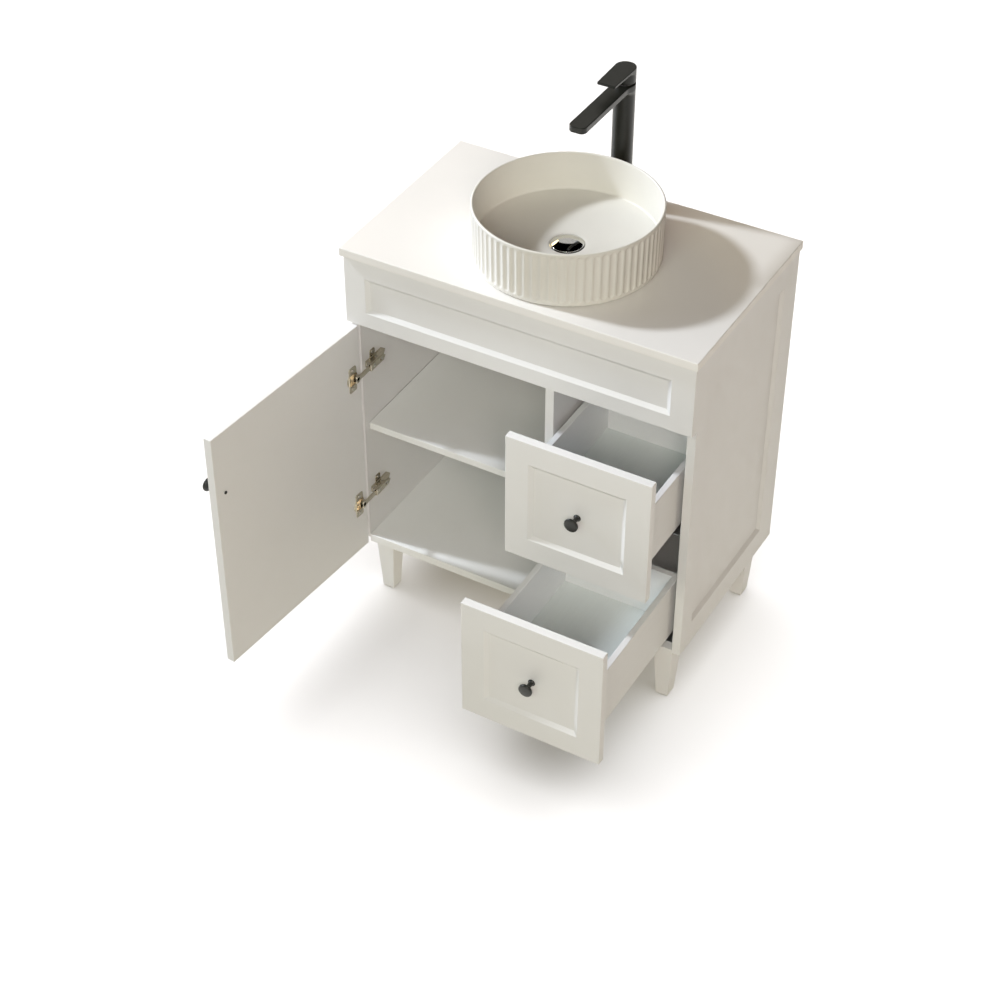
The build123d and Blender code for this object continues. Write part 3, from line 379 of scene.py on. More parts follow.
def ceramic(name, colour):
    """Matt glaze: warm clouds, a dry surface and shallow pin pricks."""
    tree, principled, place = shader(name)
    clouds = noise(tree, place, 14.0, 5.0)
    colour_between(tree, principled, clouds, tuple(c * 0.97 for c in colour), colour)
    roughness_between(tree, principled, noise(tree, place, 90.0), 0.46, 0.58)
    dry = relief(tree, principled, noise(tree, place, 1500.0, 3.0), 0.03, 0.35)
    relief(tree, principled, noise(tree, place, 130.0, 2.0), 0.12, 0.12, dry)


def powder_coat(name, colour, light_colour):
    """Matt black coating: fine grain with faint clouds of tone."""
    tree, principled, place = shader(name)
    clouds = noise(tree, place, 60.0, 4.0)
    colour_between(tree, principled, clouds, colour, light_colour)
    roughness_between(tree, principled, noise(tree, place, 300.0), 0.30, 0.40)
    relief(tree, principled, noise(tree, place, 3200.0, 2.0), 0.02, 0.25)
    principled.inputs["Specular IOR Level"].default_value = 0.4


def metal(name, colour, roughness, streak=(1.0, 1.0, 1.0), grain_mm=0.01):
    """Metal with drawn or rolled streaks, smudges and a fine grain."""
    tree, principled, place = shader(name)
    streaks = noise(tree, scaled_place(tree, place, streak), 260.0, 5.0, 0.6)
    colour_between(tree, principled, streaks, tuple(c * 0.86 for c in colour), colour)
    smudges = noise(tree, place, 70.0, 3.0)
    roughness_between(tree, principled, smudges, roughness * 0.8, roughness * 1.3)
    relief(tree, principled, streaks, grain_mm, 0.3)
    principled.inputs["Metallic"].default_value = 1.0


def moulded(name, colour, roughness, grain_mm=0.04):
    """Moulded plastic or rubber with a spark-eroded grain."""
    tree, principled, place = shader(name)
    clouds = noise(tree, place, 120.0, 4.0)
    colour_between(tree, principled, clouds, tuple(c * 0.85 for c in colour), colour)
    roughness_between(tree, principled, clouds, roughness - 0.06, roughness + 0.06)
    relief(tree, principled, noise(tree, place, 1800.0, 2.0), grain_mm, 0.4)


lacquer("white_lacquer", (0.825, 0.825, 0.82), 0.42, 0.03)
melamine("drawer_box", (0.84, 0.85, 0.85), 0.45)
melamine("drawer_base", (0.74, 0.78, 0.77), 0.5)
stone("worktop_stone", (0.86, 0.845, 0.815))
ceramic("matte_ceramic", (0.735, 0.72, 0.67))
metal("chrome", (0.74, 0.74, 0.73), 0.06, grain_mm=0.002)
moulded("waste_plastic", (0.05, 0.05, 0.05), 0.5)
moulded("rubber", (0.03, 0.03, 0.03), 0.7)
powder_coat("matte_black", (0.0095, 0.0105, 0.0085), (0.0135, 0.0145, 0.0115))
metal("brass", (0.72, 0.52, 0.25), 0.28, (1.0, 1.0, 6.0))
moulded("tap_insert", (0.22, 0.22, 0.24), 0.4)
metal("nickel", (0.60, 0.55, 0.45), 0.23, (1.0, 0.15, 1.0))
metal("screw_steel", (0.50, 0.48, 0.44), 0.3)
metal("slide_steel", (0.55, 0.56, 0.57), 0.34, (1.0, 0.1, 1.0))
moulded("glide_plastic", (0.12, 0.12, 0.12), 0.55)


# ---- CAD nodes that keep their shape ----

LEGS = ("leg_front_left", "leg_front_right", "leg_back_left", "leg_back_right")
# The nodes for each material and width of rounded edge.
KEPT_NODES = {
    ("worktop_stone", 0.5): ("worktop",),
    ("white_lacquer", 0.6): LEGS,
    ("white_lacquer", 0.5): ("side_panel_left", "side_panel_right", "floor_panel"),
    ("white_lacquer", 0.4): ("partition", "back_rail", "front_stretcher"),
    ("white_lacquer", 0.35): ("apron", "shelf", "door", "upper_front", "lower_front"),
    ("white_lacquer", 0.0): ("back_panel",),
    ("drawer_box", 0.35): ("upper_sides", "upper_inner_front", "upper_back",
                           "lower_sides", "lower_inner_front", "lower_back"),
    ("drawer_base", 0.0): ("upper_bottom", "lower_bottom"),
    ("rubber", 0.2): ("basin_seal",),
    ("rubber", 0.5): ("waste_seal",),
    ("tap_insert", 0.2): ("tap_cartridge",),
    ("brass", 0.2): ("tap_stem",),
    ("brass", 0.6): ("tap_nut",),
    ("matte_black", 0.0): ("tap_handle_pin",),
    ("waste_plastic", 0.8): ("waste_nut",),
    ("nickel", 0.3): ("shelf_pins",),
}


def dress_kept_nodes():
    """Give the CAD nodes that stay their materials and rounded edges."""
    for (material, width), names in KEPT_NODES.items():
        for name in names:
            node = nodes[name]
            node.data.materials.clear()
            node.data.materials.append(materials[material])
            if width:
                round_edges(node, width, 2, weld=True)


dress_kept_nodes()


# ---- Basin ----

FLUTES = 72
STEPS_PER_FLUTE = 14
FLUTE_DEPTH = 2.1
FLUTE_SHARE = 0.74  # part of the pitch that the hollow takes
FLUTE_FLATNESS = 0.65  # the smaller, the flatter the hollow's bottom
FLUTE_LOW = 7.5  # above the foot
FLUTE_HIGH = 5.5  # below the rim
FLUTE_END = 7.0  # length of each end, which has the finest rows
BASIN_WALL = 5.0
FOOT_INSET = 1.5  # foot inside the rim
FOOT_ROUND = 3.0
FOOT_INNER_RADIUS = 150.0
UNDER_RECESS = 10.0
CREASE = 4.0  # round between the inner wall and the floor
WALL_LEAN = 0.5
FLOOR_RISE = 12.0  # from the waste to the wall
FLOOR_CURVE = 1.15
SEAT_RADIUS = 34.3
SEAT_DEPTH = 2.5
SEAT_EDGE = 0.4
BASIN_HOLE_RADIUS = 22.0
FOOT_ARC_POINTS = 7
RIM_ARC_POINTS = 13


def flute_depth(step, height, low, high, pitch):
    """Depth of the hollow flutes at a step round the basin and a height."""
    half_width = pitch * FLUTE_SHARE / 2
    across = abs(step / STEPS_PER_FLUTE - round(step / STEPS_PER_FLUTE)) * pitch
    beyond = max(low + half_width - height, height - (high - half_width), 0.0)
    reach = (across ** 2 + beyond ** 2) / half_width ** 2
    return FLUTE_DEPTH * max(0.0, 1 - reach) ** FLUTE_FLATNESS


def basin_outside(foot, rim, rim_radius, flute_low, flute_high):
    """Outline from the foot's rounding up the wall and over the rim, with fine rows at the flutes' ends."""
    foot_radius = rim_radius - FOOT_INSET
    lip = BASIN_WALL / 2
    wall_low = foot + FOOT_ROUND
    wall_top = rim - lip
    end = np.linspace(0, FLUTE_END, 13)
    rows = list(np.linspace(wall_low + 1, flute_low, 3)[:-1])
    rows += list(flute_low + end)
    rows += list(np.linspace(flute_low + FLUTE_END + 2, flute_high - FLUTE_END - 2, 16))
    rows += list(flute_high - FLUTE_END + end)
    slope = FOOT_INSET / (wall_top - wall_low)
    outside = [(foot_radius - FOOT_ROUND + FOOT_ROUND * math.sin(a), wall_low - FOOT_ROUND * math.cos(a))
               for a in np.linspace(0, math.pi / 2, FOOT_ARC_POINTS)]
    outside += [(foot_radius + slope * (h - wall_low), h) for h in rows if h < wall_top]
    outside += [(rim_radius - lip + lip * math.cos(a), wall_top + lip * math.sin(a))
                for a in np.linspace(0, math.pi, RIM_ARC_POINTS)]
    return outside


def basin_inside(foot, rim, rim_radius, floor):
    """Outline from the inner wall over the crease and the dished floor to the seat and the under side."""
    wall_top = rim - BASIN_WALL / 2
    wall_radius = rim_radius - BASIN_WALL
    edge = wall_radius - CREASE - WALL_LEAN
    edge_z = floor + FLOOR_RISE
    inside = [(wall_radius - WALL_LEAN * t, wall_top + (edge_z + CREASE - wall_top) * t)
              for t in np.linspace(0.08, 0.92, 9)]
    inside += [(edge + CREASE * math.cos(a), edge_z + CREASE - CREASE * math.sin(a))
               for a in np.linspace(0, math.pi / 2, 9)]
    inside += [(r, floor + FLOOR_RISE * ((r - SEAT_RADIUS) / (edge - SEAT_RADIUS)) ** FLOOR_CURVE)
               for r in np.linspace(edge - 2 * CREASE, SEAT_RADIUS + 0.7, 16)]
    seat = floor - SEAT_DEPTH
    recess = foot + UNDER_RECESS
    return inside + [(SEAT_RADIUS, floor - SEAT_EDGE), (SEAT_RADIUS, seat), (BASIN_HOLE_RADIUS, seat),
                     (BASIN_HOLE_RADIUS, recess), (FOOT_INNER_RADIUS, recess), (FOOT_INNER_RADIUS, foot)]


def build_basin():
    """Turned vessel with hollow flutes round its outside."""
    low, high = box_mm("basin")
    centre = (low + high) / 2
    rim_radius = (high.x - low.x) / 2
    flute_low = low.z + FLUTE_LOW
    flute_high = high.z - FLUTE_HIGH
    pitch = 2 * math.pi * rim_radius / FLUTES
    outside = basin_outside(low.z, high.z, rim_radius, flute_low, flute_high)
    profile = outside + basin_inside(low.z, high.z, rim_radius, box_mm("waste_body")[1].z)
    fluted = range(FOOT_ARC_POINTS, len(outside) - RIM_ARC_POINTS)

    def dent(row, step):
        return flute_depth(step, profile[row][1], flute_low, flute_high, pitch) if row in fluted else 0.0

    place = Matrix.Translation((centre.x, centre.y, 0))
    basin = lathe("fluted_basin", profile, "root", "matte_ceramic", place, FLUTES * STEPS_PER_FLUTE,
                  sharp_angle=60.0, dent=dent)
    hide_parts("basin")


build_basin()


# ---- Waste and stopper ----

THREAD_PITCH = 2.0
THREAD_DEPTH = 0.7
TUBE_RADIUS = 21.0
BORE_RADIUS = 17.0
FLANGE_RADIUS = 34.0
FLANGE_THICKNESS = 2.5
TAIL_RADIUS = 16.0
TAIL_BORE_RADIUS = 14.0
TAIL_LENGTH = 120.0
SPIDER_BELOW_FLANGE = (27.0, 19.0)  # lower and upper side of the cross that guides the stopper
SPIDER_HALF = 1.5
GUIDE_RADII = (4.6, 7.0)
STEM_RADIUS = 4.5
CAP_GAP = 0.3
CAP_EDGE = 1.6
CAP_CROWN = 2.0  # cap above its CAD height
QUARTERS = [Matrix.Rotation(math.radians(turn), 4, "Z") for turn in (0, 90, 180, 270)]


def thread_profile(radius, low, high, depth):
    """Outline of a threaded tube's outside, from low to high."""
    turns = int((high - low) / THREAD_PITCH)
    points = []
    for turn in range(turns):
        z = low + turn * THREAD_PITCH
        points += [(radius - depth, z), (radius, z + 0.35 * THREAD_PITCH), (radius, z + 0.65 * THREAD_PITCH)]
    points.append((radius - depth, low + turns * THREAD_PITCH))
    return points


def build_waste():
    """Chromed waste: dished flange, threaded tube, shoulder and tail."""
    low, high = box_mm("waste_body")
    centre = (low + high) / 2
    place = Matrix.Translation((centre.x, centre.y, 0))
    top = high.z
    shoulder = low.z + TAIL_LENGTH
    profile = [(TAIL_BORE_RADIUS, low.z), (TAIL_RADIUS - 0.6, low.z), (TAIL_RADIUS, low.z + 0.8),
               (TAIL_RADIUS, shoulder - 1), (TAIL_RADIUS + 1, shoulder), (TUBE_RADIUS - 1, shoulder),
               (TUBE_RADIUS, shoulder + 1)]
    profile += thread_profile(TUBE_RADIUS, shoulder + 3, top - 6, THREAD_DEPTH)
    profile += [(TUBE_RADIUS, top - 4), (TUBE_RADIUS + 1, top - FLANGE_THICKNESS),
                (FLANGE_RADIUS - 0.8, top - FLANGE_THICKNESS), (FLANGE_RADIUS, top - 1.8),
                (FLANGE_RADIUS - 0.2, top - 0.6), (FLANGE_RADIUS - 1.4, top - 0.05),
                (FLANGE_RADIUS - 3.5, top - 0.5), (24.0, top - 1.0), (BORE_RADIUS + 1, top - 1.4),
                (BORE_RADIUS, top - 3.0), (BORE_RADIUS, shoulder + 4), (TAIL_BORE_RADIUS, shoulder + 2)]
    waste = lathe("waste_fitting", profile, "root", "chrome", place, steps=96)
    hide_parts("waste_body")
    spider_low, spider_high = (top - drop for drop in SPIDER_BELOW_FLANGE)
    inner, outer = GUIDE_RADII
    arm = filleted([(inner + 2.0, -SPIDER_HALF, 0.3), (BORE_RADIUS + 0.5, -SPIDER_HALF, 0.3),
                    (BORE_RADIUS + 0.5, SPIDER_HALF, 0.3), (inner + 2.0, SPIDER_HALF, 0.3)])
    prism("waste_spider", arm, spider_low, spider_high, "root", "chrome", place, 0.3, QUARTERS)
    guide = [(inner, spider_low), (outer, spider_low), (outer, spider_high), (inner, spider_high)]
    lathe("waste_guide", guide, "root", "chrome", place, steps=48)


def build_stopper():
    """Domed cap on its guide stem."""
    low, high = box_mm("stopper")
    centre = (low + high) / 2
    place = Matrix.Translation((centre.x, centre.y, 0))
    cap_low = box_mm("waste_body")[1].z + CAP_GAP
    radius = (high.x - low.x) / 2
    crown = high.z + CAP_CROWN
    rise = crown - cap_low - CAP_EDGE
    sphere = (radius ** 2 + rise ** 2) / (2 * rise)
    profile = [(0, low.z), (STEM_RADIUS - 0.9, low.z), (STEM_RADIUS, low.z + 0.9),
               (STEM_RADIUS, cap_low - 1.2), (STEM_RADIUS + 0.9, cap_low), (radius - 3.0, cap_low),
               (radius - 0.9, cap_low + 0.15), (radius - 0.15, cap_low + 0.55), (radius, cap_low + 1.0),
               (radius - 0.1, cap_low + 1.45)]
    profile += [(r, crown - sphere + math.sqrt(sphere ** 2 - r ** 2))
                for r in np.linspace(radius - 0.35, 0, 22)]
    cap = lathe("stopper_cap", profile, "stopper", "chrome", place, steps=128, closed=False)
    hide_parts("stopper")


build_waste()
build_stopper()


# ---- Mixer tap ----

COLUMN_RADIUS = 21.15
COLUMN_EDGE = 0.6
SPOUT_WIDTH = 36.0
SPOUT_THICKNESS = 12.5
SPOUT_CORNER = 12.5
SPOUT_EDGE = 1.6
SPOUT_ROOT_FILLET = 11.0
POCKET_RADIUS = 17.6
POCKET_DEPTH = 5.0
NOZZLE_RADIUS = 11.05
NOZZLE_DEPTH = 8.0
LEVER_THICKNESS = 5.0
LEVER_FRONT_HALF = 19.2
LEVER_CORNER = 2.5
LEVER_ROOT_FILLET = 7.0
CAVITY_RADIUS = 16.0
CAVITY_DEPTH = 18.0
SLOT_HALF = 5.0
SLOT_REACH = 18.8  # slot behind the handle's axis
FREE_LENGTH = 20.0  # how far a field runs on past a face that is cut afterwards
MARGIN = 2.0  # room round a field
RING_HOLE_RADIUS = 15.1
SHANK_RADIUS = 15.0
SHANK_PITCH = 1.5
SHANK_THREAD = 0.35
HOSE_OFFSET = 7.0
HOSE_RADIUS = 4.5
HOSE_DEPTH = 15.0


def build_tap_body():
    """Round column that runs into a flat spout, with a fillet under the spout's root."""
    low, high = box_mm("tap_body")
    x0 = (low.x + high.x) / 2
    y0 = high.y - COLUMN_RADIUS
    top, base = high.z, low.z
    aerator_y = middle_mm("tap_aerator").y

    def field(x, y, z):
        across = np.sqrt((x - x0) ** 2 + (y - y0) ** 2)
        column = disc_field(across, z, (base + top + FREE_LENGTH) / 2, COLUMN_RADIUS,
                            (top + FREE_LENGTH - base) / 2, COLUMN_EDGE)
        half = (SPOUT_WIDTH / 2, (y0 - low.y) / 2, (SPOUT_THICKNESS + FREE_LENGTH) / 2)
        spout_z = top + (FREE_LENGTH - SPOUT_THICKNESS) / 2
        spout = box_field(x, y, z, (x0, (low.y + y0) / 2, spout_z), half, SPOUT_EDGE)
        rear = y0 + 3 * FREE_LENGTH
        corners = slot_field(x - x0, y - (low.y + rear) / 2, SPOUT_WIDTH / 2, (rear - low.y) / 2,
                             SPOUT_CORNER)
        body = joined(column, np.maximum(spout, corners), SPOUT_ROOT_FILLET)
        body = cut(body, top - z, SPOUT_EDGE)
        body = cut(body, disc_field(across, z, top, POCKET_RADIUS, POCKET_DEPTH, 0.5), 0.5)
        nozzle = disc_field(np.sqrt((x - x0) ** 2 + (y - aerator_y) ** 2), z, top - SPOUT_THICKNESS,
                            NOZZLE_RADIUS, NOZZLE_DEPTH, 0.4)
        return cut(body, nozzle, 0.6)

    reach = COLUMN_RADIUS + MARGIN
    tap = field_piece("tap_column_and_spout", field, (x0 - reach, low.y - MARGIN, base - MARGIN),
                      (x0 + reach, high.y + MARGIN, top + MARGIN), 0.75, "root", "matte_black")
    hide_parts("tap_body")


def tapered_field(x, y, back_y, back_radius, front_y, front_half_width, corner):
    """Endless column: round at the back, with straight sides that close in towards a square front."""
    along = np.clip((back_y - y) / (back_y - front_y), 0, 1)
    sides = np.abs(x) - (back_radius + (front_half_width - back_radius) * along)
    back = np.sqrt(x ** 2 + np.maximum(y - back_y, 0) ** 2) - back_radius
    return np.where(y > back_y, back, rounded_corner(sides, front_y - y, corner))


def build_tap_handle():
    """Round-backed block that runs forward into a thin lever."""
    low, high = box_mm("tap_handle")
    x0 = (low.x + high.x) / 2
    y0 = high.y - COLUMN_RADIUS
    top, base = high.z, low.z

    def field(x, y, z):
        across = np.sqrt((x - x0) ** 2 + (y - y0) ** 2)
        outline = tapered_field(x - x0, y, y0, COLUMN_RADIUS, low.y, LEVER_FRONT_HALF, LEVER_CORNER)
        block = disc_field(across, z, (base + top + FREE_LENGTH) / 2, COLUMN_RADIUS,
                           (top + FREE_LENGTH - base) / 2, 0.8)
        block = np.maximum(block, (y0 - COLUMN_RADIUS) - y)
        lever_z = top + (FREE_LENGTH - LEVER_THICKNESS) / 2
        lever = np.maximum(outline, np.abs(z - lever_z) - (LEVER_THICKNESS + FREE_LENGTH) / 2)
        body = np.maximum(joined(block, lever, LEVER_ROOT_FILLET), outline)
        body = cut(body, top - z, 1.0)
        cavity = disc_field(across, z, base, CAVITY_RADIUS, CAVITY_DEPTH, 1.0)
        slot = box_field(x, y, z, (x0, y0 + SLOT_REACH / 2, base),
                         (SLOT_HALF, SLOT_REACH / 2, CAVITY_DEPTH), 0.5)
        return cut(cut(body, cavity, 0.4), slot, 0.4)

    reach = COLUMN_RADIUS + MARGIN
    handle = field_piece("tap_lever_handle", field, (x0 - reach, low.y - MARGIN, base - MARGIN),
                         (x0 + reach, high.y + MARGIN, top + MARGIN), 0.6, "tap_handle", "matte_black")
    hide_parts("tap_handle")


def build_tap_ring():
    """Rounded ring under the column."""
    low, high = box_mm("tap_base_ring")
    centre = (low + high) / 2
    radius = (high.x - low.x) / 2
    profile = [(RING_HOLE_RADIUS, low.z), (radius - 0.4, low.z), (radius, low.z + 0.5), (radius, low.z + 2.4),
               (radius - 0.7, low.z + 3.5), (radius - 2.0, high.z), (RING_HOLE_RADIUS, high.z)]
    ring = lathe("tap_foot_ring", profile, "root", "matte_black", Matrix.Translation((centre.x, centre.y, 0)),
                 steps=128)
    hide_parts("tap_base_ring")


def build_aerator():
    """Sleeve and fine grid in the spout's nozzle."""
    low, high = box_mm("tap_aerator")
    nozzle = (low + high) / 2
    place = Matrix.Translation((nozzle.x, nozzle.y, 0))
    profile = [(7.2, high.z), (10.9, high.z), (10.9, low.z + 0.6), (10.4, low.z), (8.2, low.z),
               (7.2, low.z + 1.0)]
    sleeve = lathe("aerator_sleeve", profile, "root", "tap_insert", place, steps=72)
    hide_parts("tap_aerator")
    bars = [Matrix.Rotation(math.radians(turn), 4, "Z") @ Matrix.Translation((offset, 0, 0))
            for turn in (0, 60, 120) for offset in (-4.8, -2.4, 0.0, 2.4, 4.8)]
    bar = [(-0.25, -5.2), (0.25, -5.2), (0.25, 5.2), (-0.25, 5.2)]
    prism("aerator_grid", bar, low.z + 1.6, low.z + 3.2, "root", "tap_insert", place, copies=bars)


def build_shank():
    """Threaded shank with the two hose sockets in its end."""
    low, high = box_mm("tap_shank")
    centre = (low + high) / 2

    def field(x, y, z):
        across = np.sqrt((x - centre.x) ** 2 + (y - centre.y) ** 2)
        angle = np.arctan2(y - centre.y, x - centre.x)
        wave = SHANK_THREAD * np.cos(2 * np.pi * (z / SHANK_PITCH - angle / (2 * np.pi)))
        shank = disc_field(across - wave + SHANK_THREAD, z, (low.z + high.z) / 2, SHANK_RADIUS,
                           (high.z - low.z) / 2, 0.8)
        for side in (-HOSE_OFFSET, HOSE_OFFSET):
            hole = np.sqrt((x - centre.x - side) ** 2 + (y - centre.y) ** 2)
            shank = cut(shank, disc_field(hole, z, low.z, HOSE_RADIUS, HOSE_DEPTH, 0.2), 0.3)
        return shank

    room = Vector((1, 1, 1))
    shank = field_piece("threaded_shank", field, low - room, high + room, 0.45, "root", "brass")
    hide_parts("tap_shank")


build_tap_body()
build_tap_handle()
build_tap_ring()
build_aerator()
build_shank()


# ---- Knobs and screws ----

KNOB_REACH = 29.0
KNOB_FACE_RADIUS = 11.5
KNOB_FACE_RISE = 1.0
FRONT_THICKNESS = 18.0
DOOR_WIDTH = 446.0
DOOR_GAP = 2.0  # between the closed door and the carcass
KNOB_SETBACK = 26.0
DRAWER_SCREW = (4.2, 2.4)  # radius and height of the head
DOOR_SCREW = (3.5, 2.2)

carcass_left, carcass_front, _ = box_mm("side_panel_left")[0]
DOOR_INSIDE_Y = carcass_front - DOOR_GAP


def facing(point, outward):
    """Transform whose z axis points outward from a point and whose y axis points up."""
    z = Vector(outward)
    y = Vector((0, 0, 1))
    x = y.cross(z)
    made = Matrix((x, y, z)).transposed().to_4x4()
    made.translation = Vector(point)
    return made


def build_knob(name, node, body, seat):
    """Mushroom knob turned in one piece: flared foot, waisted neck and shallow domed head."""
    profile = [(0, 0), (7.2, 0), (7.5, 0.3), (7.5, 1.2), (7.1, 2.0), (6.0, 2.9), (5.2, 4.0), (4.75, 5.6),
               (4.6, 8.0), (4.6, 12.0), (4.9, 14.6), (5.9, 16.9), (7.8, 18.7), (10.2, 20.0), (12.4, 21.1),
               (13.6, 22.2), (14.1, 23.4), (14.3, 24.6), (14.2, 25.7), (13.9, 26.7), (13.0, 27.45),
               (KNOB_FACE_RADIUS, KNOB_REACH - KNOB_FACE_RISE)]
    profile += [(r, KNOB_REACH - KNOB_FACE_RISE * (r / KNOB_FACE_RADIUS) ** 2)
                for r in np.linspace(10.4, 0, 10)]
    knob = lathe(name, profile, body, "matte_black", seat, steps=96, closed=False)
    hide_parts(node)


def screw_head(name, places, radius, height, body, node, recess, material="screw_steel"):
    """Pan-head screws with a cross recess, one for each place; z points out of the surface."""
    def field(x, y, z):
        across = np.sqrt(x ** 2 + y ** 2)
        head = disc_field(across, z, 0, radius, height, 0.55 * height)
        arm = recess * radius
        cross = np.minimum(box_field(x, y, z, (0, 0, height), (arm, 0.16 * radius, 0.62 * height), 0.05),
                           box_field(x, y, z, (0, 0, height), (0.16 * radius, arm, 0.62 * height), 0.05))
        return np.maximum(cut(head, cross, 0.1), -z)

    edge = radius + 0.6
    screws = field_piece(name, field, (-edge, -edge, -0.6), (edge, edge, height + 0.6), radius / 14, body,
                         material)
    merged = bmesh.new()
    for place in places:
        copy = screws.data.copy()
        copy.transform(Matrix.Scale(MM, 4) @ place @ Matrix.Scale(1 / MM, 4))
        merged.from_mesh(copy)
        bpy.data.meshes.remove(copy)
    merged.to_mesh(screws.data)
    merged.free()
    screws.data.shade_smooth()
    if node:
        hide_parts(node)


def build_knobs():
    """The door's knob and the two drawers' knobs with their screws."""
    for level in ("upper", "lower"):
        low, high = box_mm(f"{level}_knob")
        middle = (low + high) / 2
        seat = facing((middle.x, high.y, middle.z), (0, -1, 0))
        build_knob(f"{level}_drawer_knob", f"{level}_knob", f"{level}_drawer", seat)
        radius, height = DRAWER_SCREW
        back = box_mm(f"{level}_knob_screw")[1].y - height
        screw_head(f"{level}_knob_fixing", [facing((middle.x, back, middle.z), (0, 1, 0))], radius, height,
                   f"{level}_drawer", f"{level}_knob_screw", 0.6)
    closed_x = carcass_left + DOOR_WIDTH - KNOB_SETBACK
    level = middle_mm("door_knob").z
    outside = open_door @ facing((closed_x, DOOR_INSIDE_Y - FRONT_THICKNESS, level), (0, -1, 0))
    inside = open_door @ facing((closed_x, DOOR_INSIDE_Y, level), (0, 1, 0))
    build_knob("door_pull_knob", "door_knob", "door", outside)
    screw_head("door_knob_fixing", [inside], *DOOR_SCREW, "door", "door_knob_screw", 0.6, "matte_black")


build_knobs()


# ---- Concealed hinges ----

CUP_SETBACK = 26.0  # cup centre to the door's hinge edge
CUP_SCREW_OFFSET = 23.0
CUP_RADIUS = 17.2
CUP_DEPTH = 12.0
FLANGE_HALF = (12.0, 30.0)
FLANGE_HEIGHT = 1.4
MOUTH_HALF = (10.5, 13.0)
ARM_HALF = 8.5
ARM_CHANNEL_HALF = 6.6
ARM_SHEET = 1.9
ARM_TAIL = 16.0
TAIL_SLOPE = 0.42
TAIL_SCALE = 0.92  # about the cosine of the tail's slope
LINK_HALF = 5.0
KNUCKLE_HALF = 8.0
HOOK_DEPTH = 3.7
HOOK_LENGTH = 4.0
KNUCKLE_LENGTH = 11.0
WING_HALF = 24.0
WING_Y = -395.0
WING_HALF_WIDTH = 9.0
WING_THICKNESS = 2.0
PLATE_SCREW_OFFSET = 17.5
SLOT_OFFSET = 12.6

plates_low, plates_high = box_mm("hinge_plates")
arms_low, arms_high = box_mm("hinge_arms")
links_low, links_high = box_mm("hinge_links")
HINGE_HEIGHTS = (plates_low.z + WING_HALF, plates_high.z - WING_HALF)
AT_HINGES = [Matrix.Translation((0, 0, height)) for height in HINGE_HEIGHTS]


def hinge_pieces(name, field, low, high, body, places):
    """One pressed piece at each hinge; the first stands in for the CAD node that holds them all."""
    for index, place in enumerate(places):
        piece = field_piece(f"{name}_{index + 1}", field, low, high, 0.5, body, "nickel", place)
        if index == 0:
            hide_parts(f"{name}s")


def build_hinge_cups():
    """Pressed flange with a raised lip round a deep open cup."""
    def field(x, y, z):
        flange = box_field(x, y, z, (0, 0, FLANGE_HEIGHT / 2), (*FLANGE_HALF, FLANGE_HEIGHT / 2), 0.45)
        flange = np.maximum(flange, slot_field(x, y, *FLANGE_HALF, 5.0))
        lip = box_field(x, y, z, (0, 0, FLANGE_HEIGHT / 2), (FLANGE_HALF[0] - 0.3, FLANGE_HALF[1] / 2, 1.2),
                        0.5)
        cup = disc_field(np.sqrt(x ** 2 + y ** 2), z, -CUP_DEPTH / 2, CUP_RADIUS, CUP_DEPTH / 2, 0.8)
        shell = np.minimum(joined(flange, lip, 0.8), cup)
        mouth = np.maximum(slot_field(x, y, *MOUTH_HALF, 2.5), -(z + CUP_DEPTH - 2.0))
        return cut(shell, mouth, 0.5)

    cup_x = carcass_left + CUP_SETBACK
    cups = [open_door @ facing((cup_x, DOOR_INSIDE_Y, height), (0, 1, 0)) for height in HINGE_HEIGHTS]
    hinge_pieces("hinge_cup", field, (-18.4, -31.2, -13.0), (18.4, 31.2, 3.0), "door", cups)
    seats = [open_door @ facing((cup_x, DOOR_INSIDE_Y + 1.3, height + side), (0, 1, 0))
             for height in HINGE_HEIGHTS for side in (-CUP_SCREW_OFFSET, CUP_SCREW_OFFSET)]
    screw_head("hinge_cup_fixings", seats, 3.4, 1.4, "door", "hinge_cup_screws", 0.62)


def build_hinge_links():
    """Link of each hinge: a flat plate with a broad hooked end that turns in the cup."""
    high_x = links_high.x
    hook_x = links_low.x
    low_x = hook_x + HOOK_DEPTH
    front, rear = links_low.y, links_high.y
    plate = filleted([
        (low_x, rear, 1.2), (high_x, rear, 1.2), (high_x, front, 1.9), (hook_x, front, 1.4),
        (hook_x, front + HOOK_LENGTH, 1.4), (low_x, front + HOOK_LENGTH, 1.0),
    ])
    links = prism("hinge_link_plates", plate, -LINK_HALF, LINK_HALF, "hinge_links", "nickel", None, 0.7,
                  AT_HINGES)
    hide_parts("hinge_links")
    knuckle = filleted([
        (hook_x, front, 1.4), (hook_x, front + KNUCKLE_LENGTH, 2.2), (high_x, front + KNUCKLE_LENGTH, 1.6),
        (high_x, front, 1.9),
    ])
    prism("hinge_link_knuckles", knuckle, -KNUCKLE_HALF, KNUCKLE_HALF, "hinge_links", "nickel", None, 0.9,
          AT_HINGES)


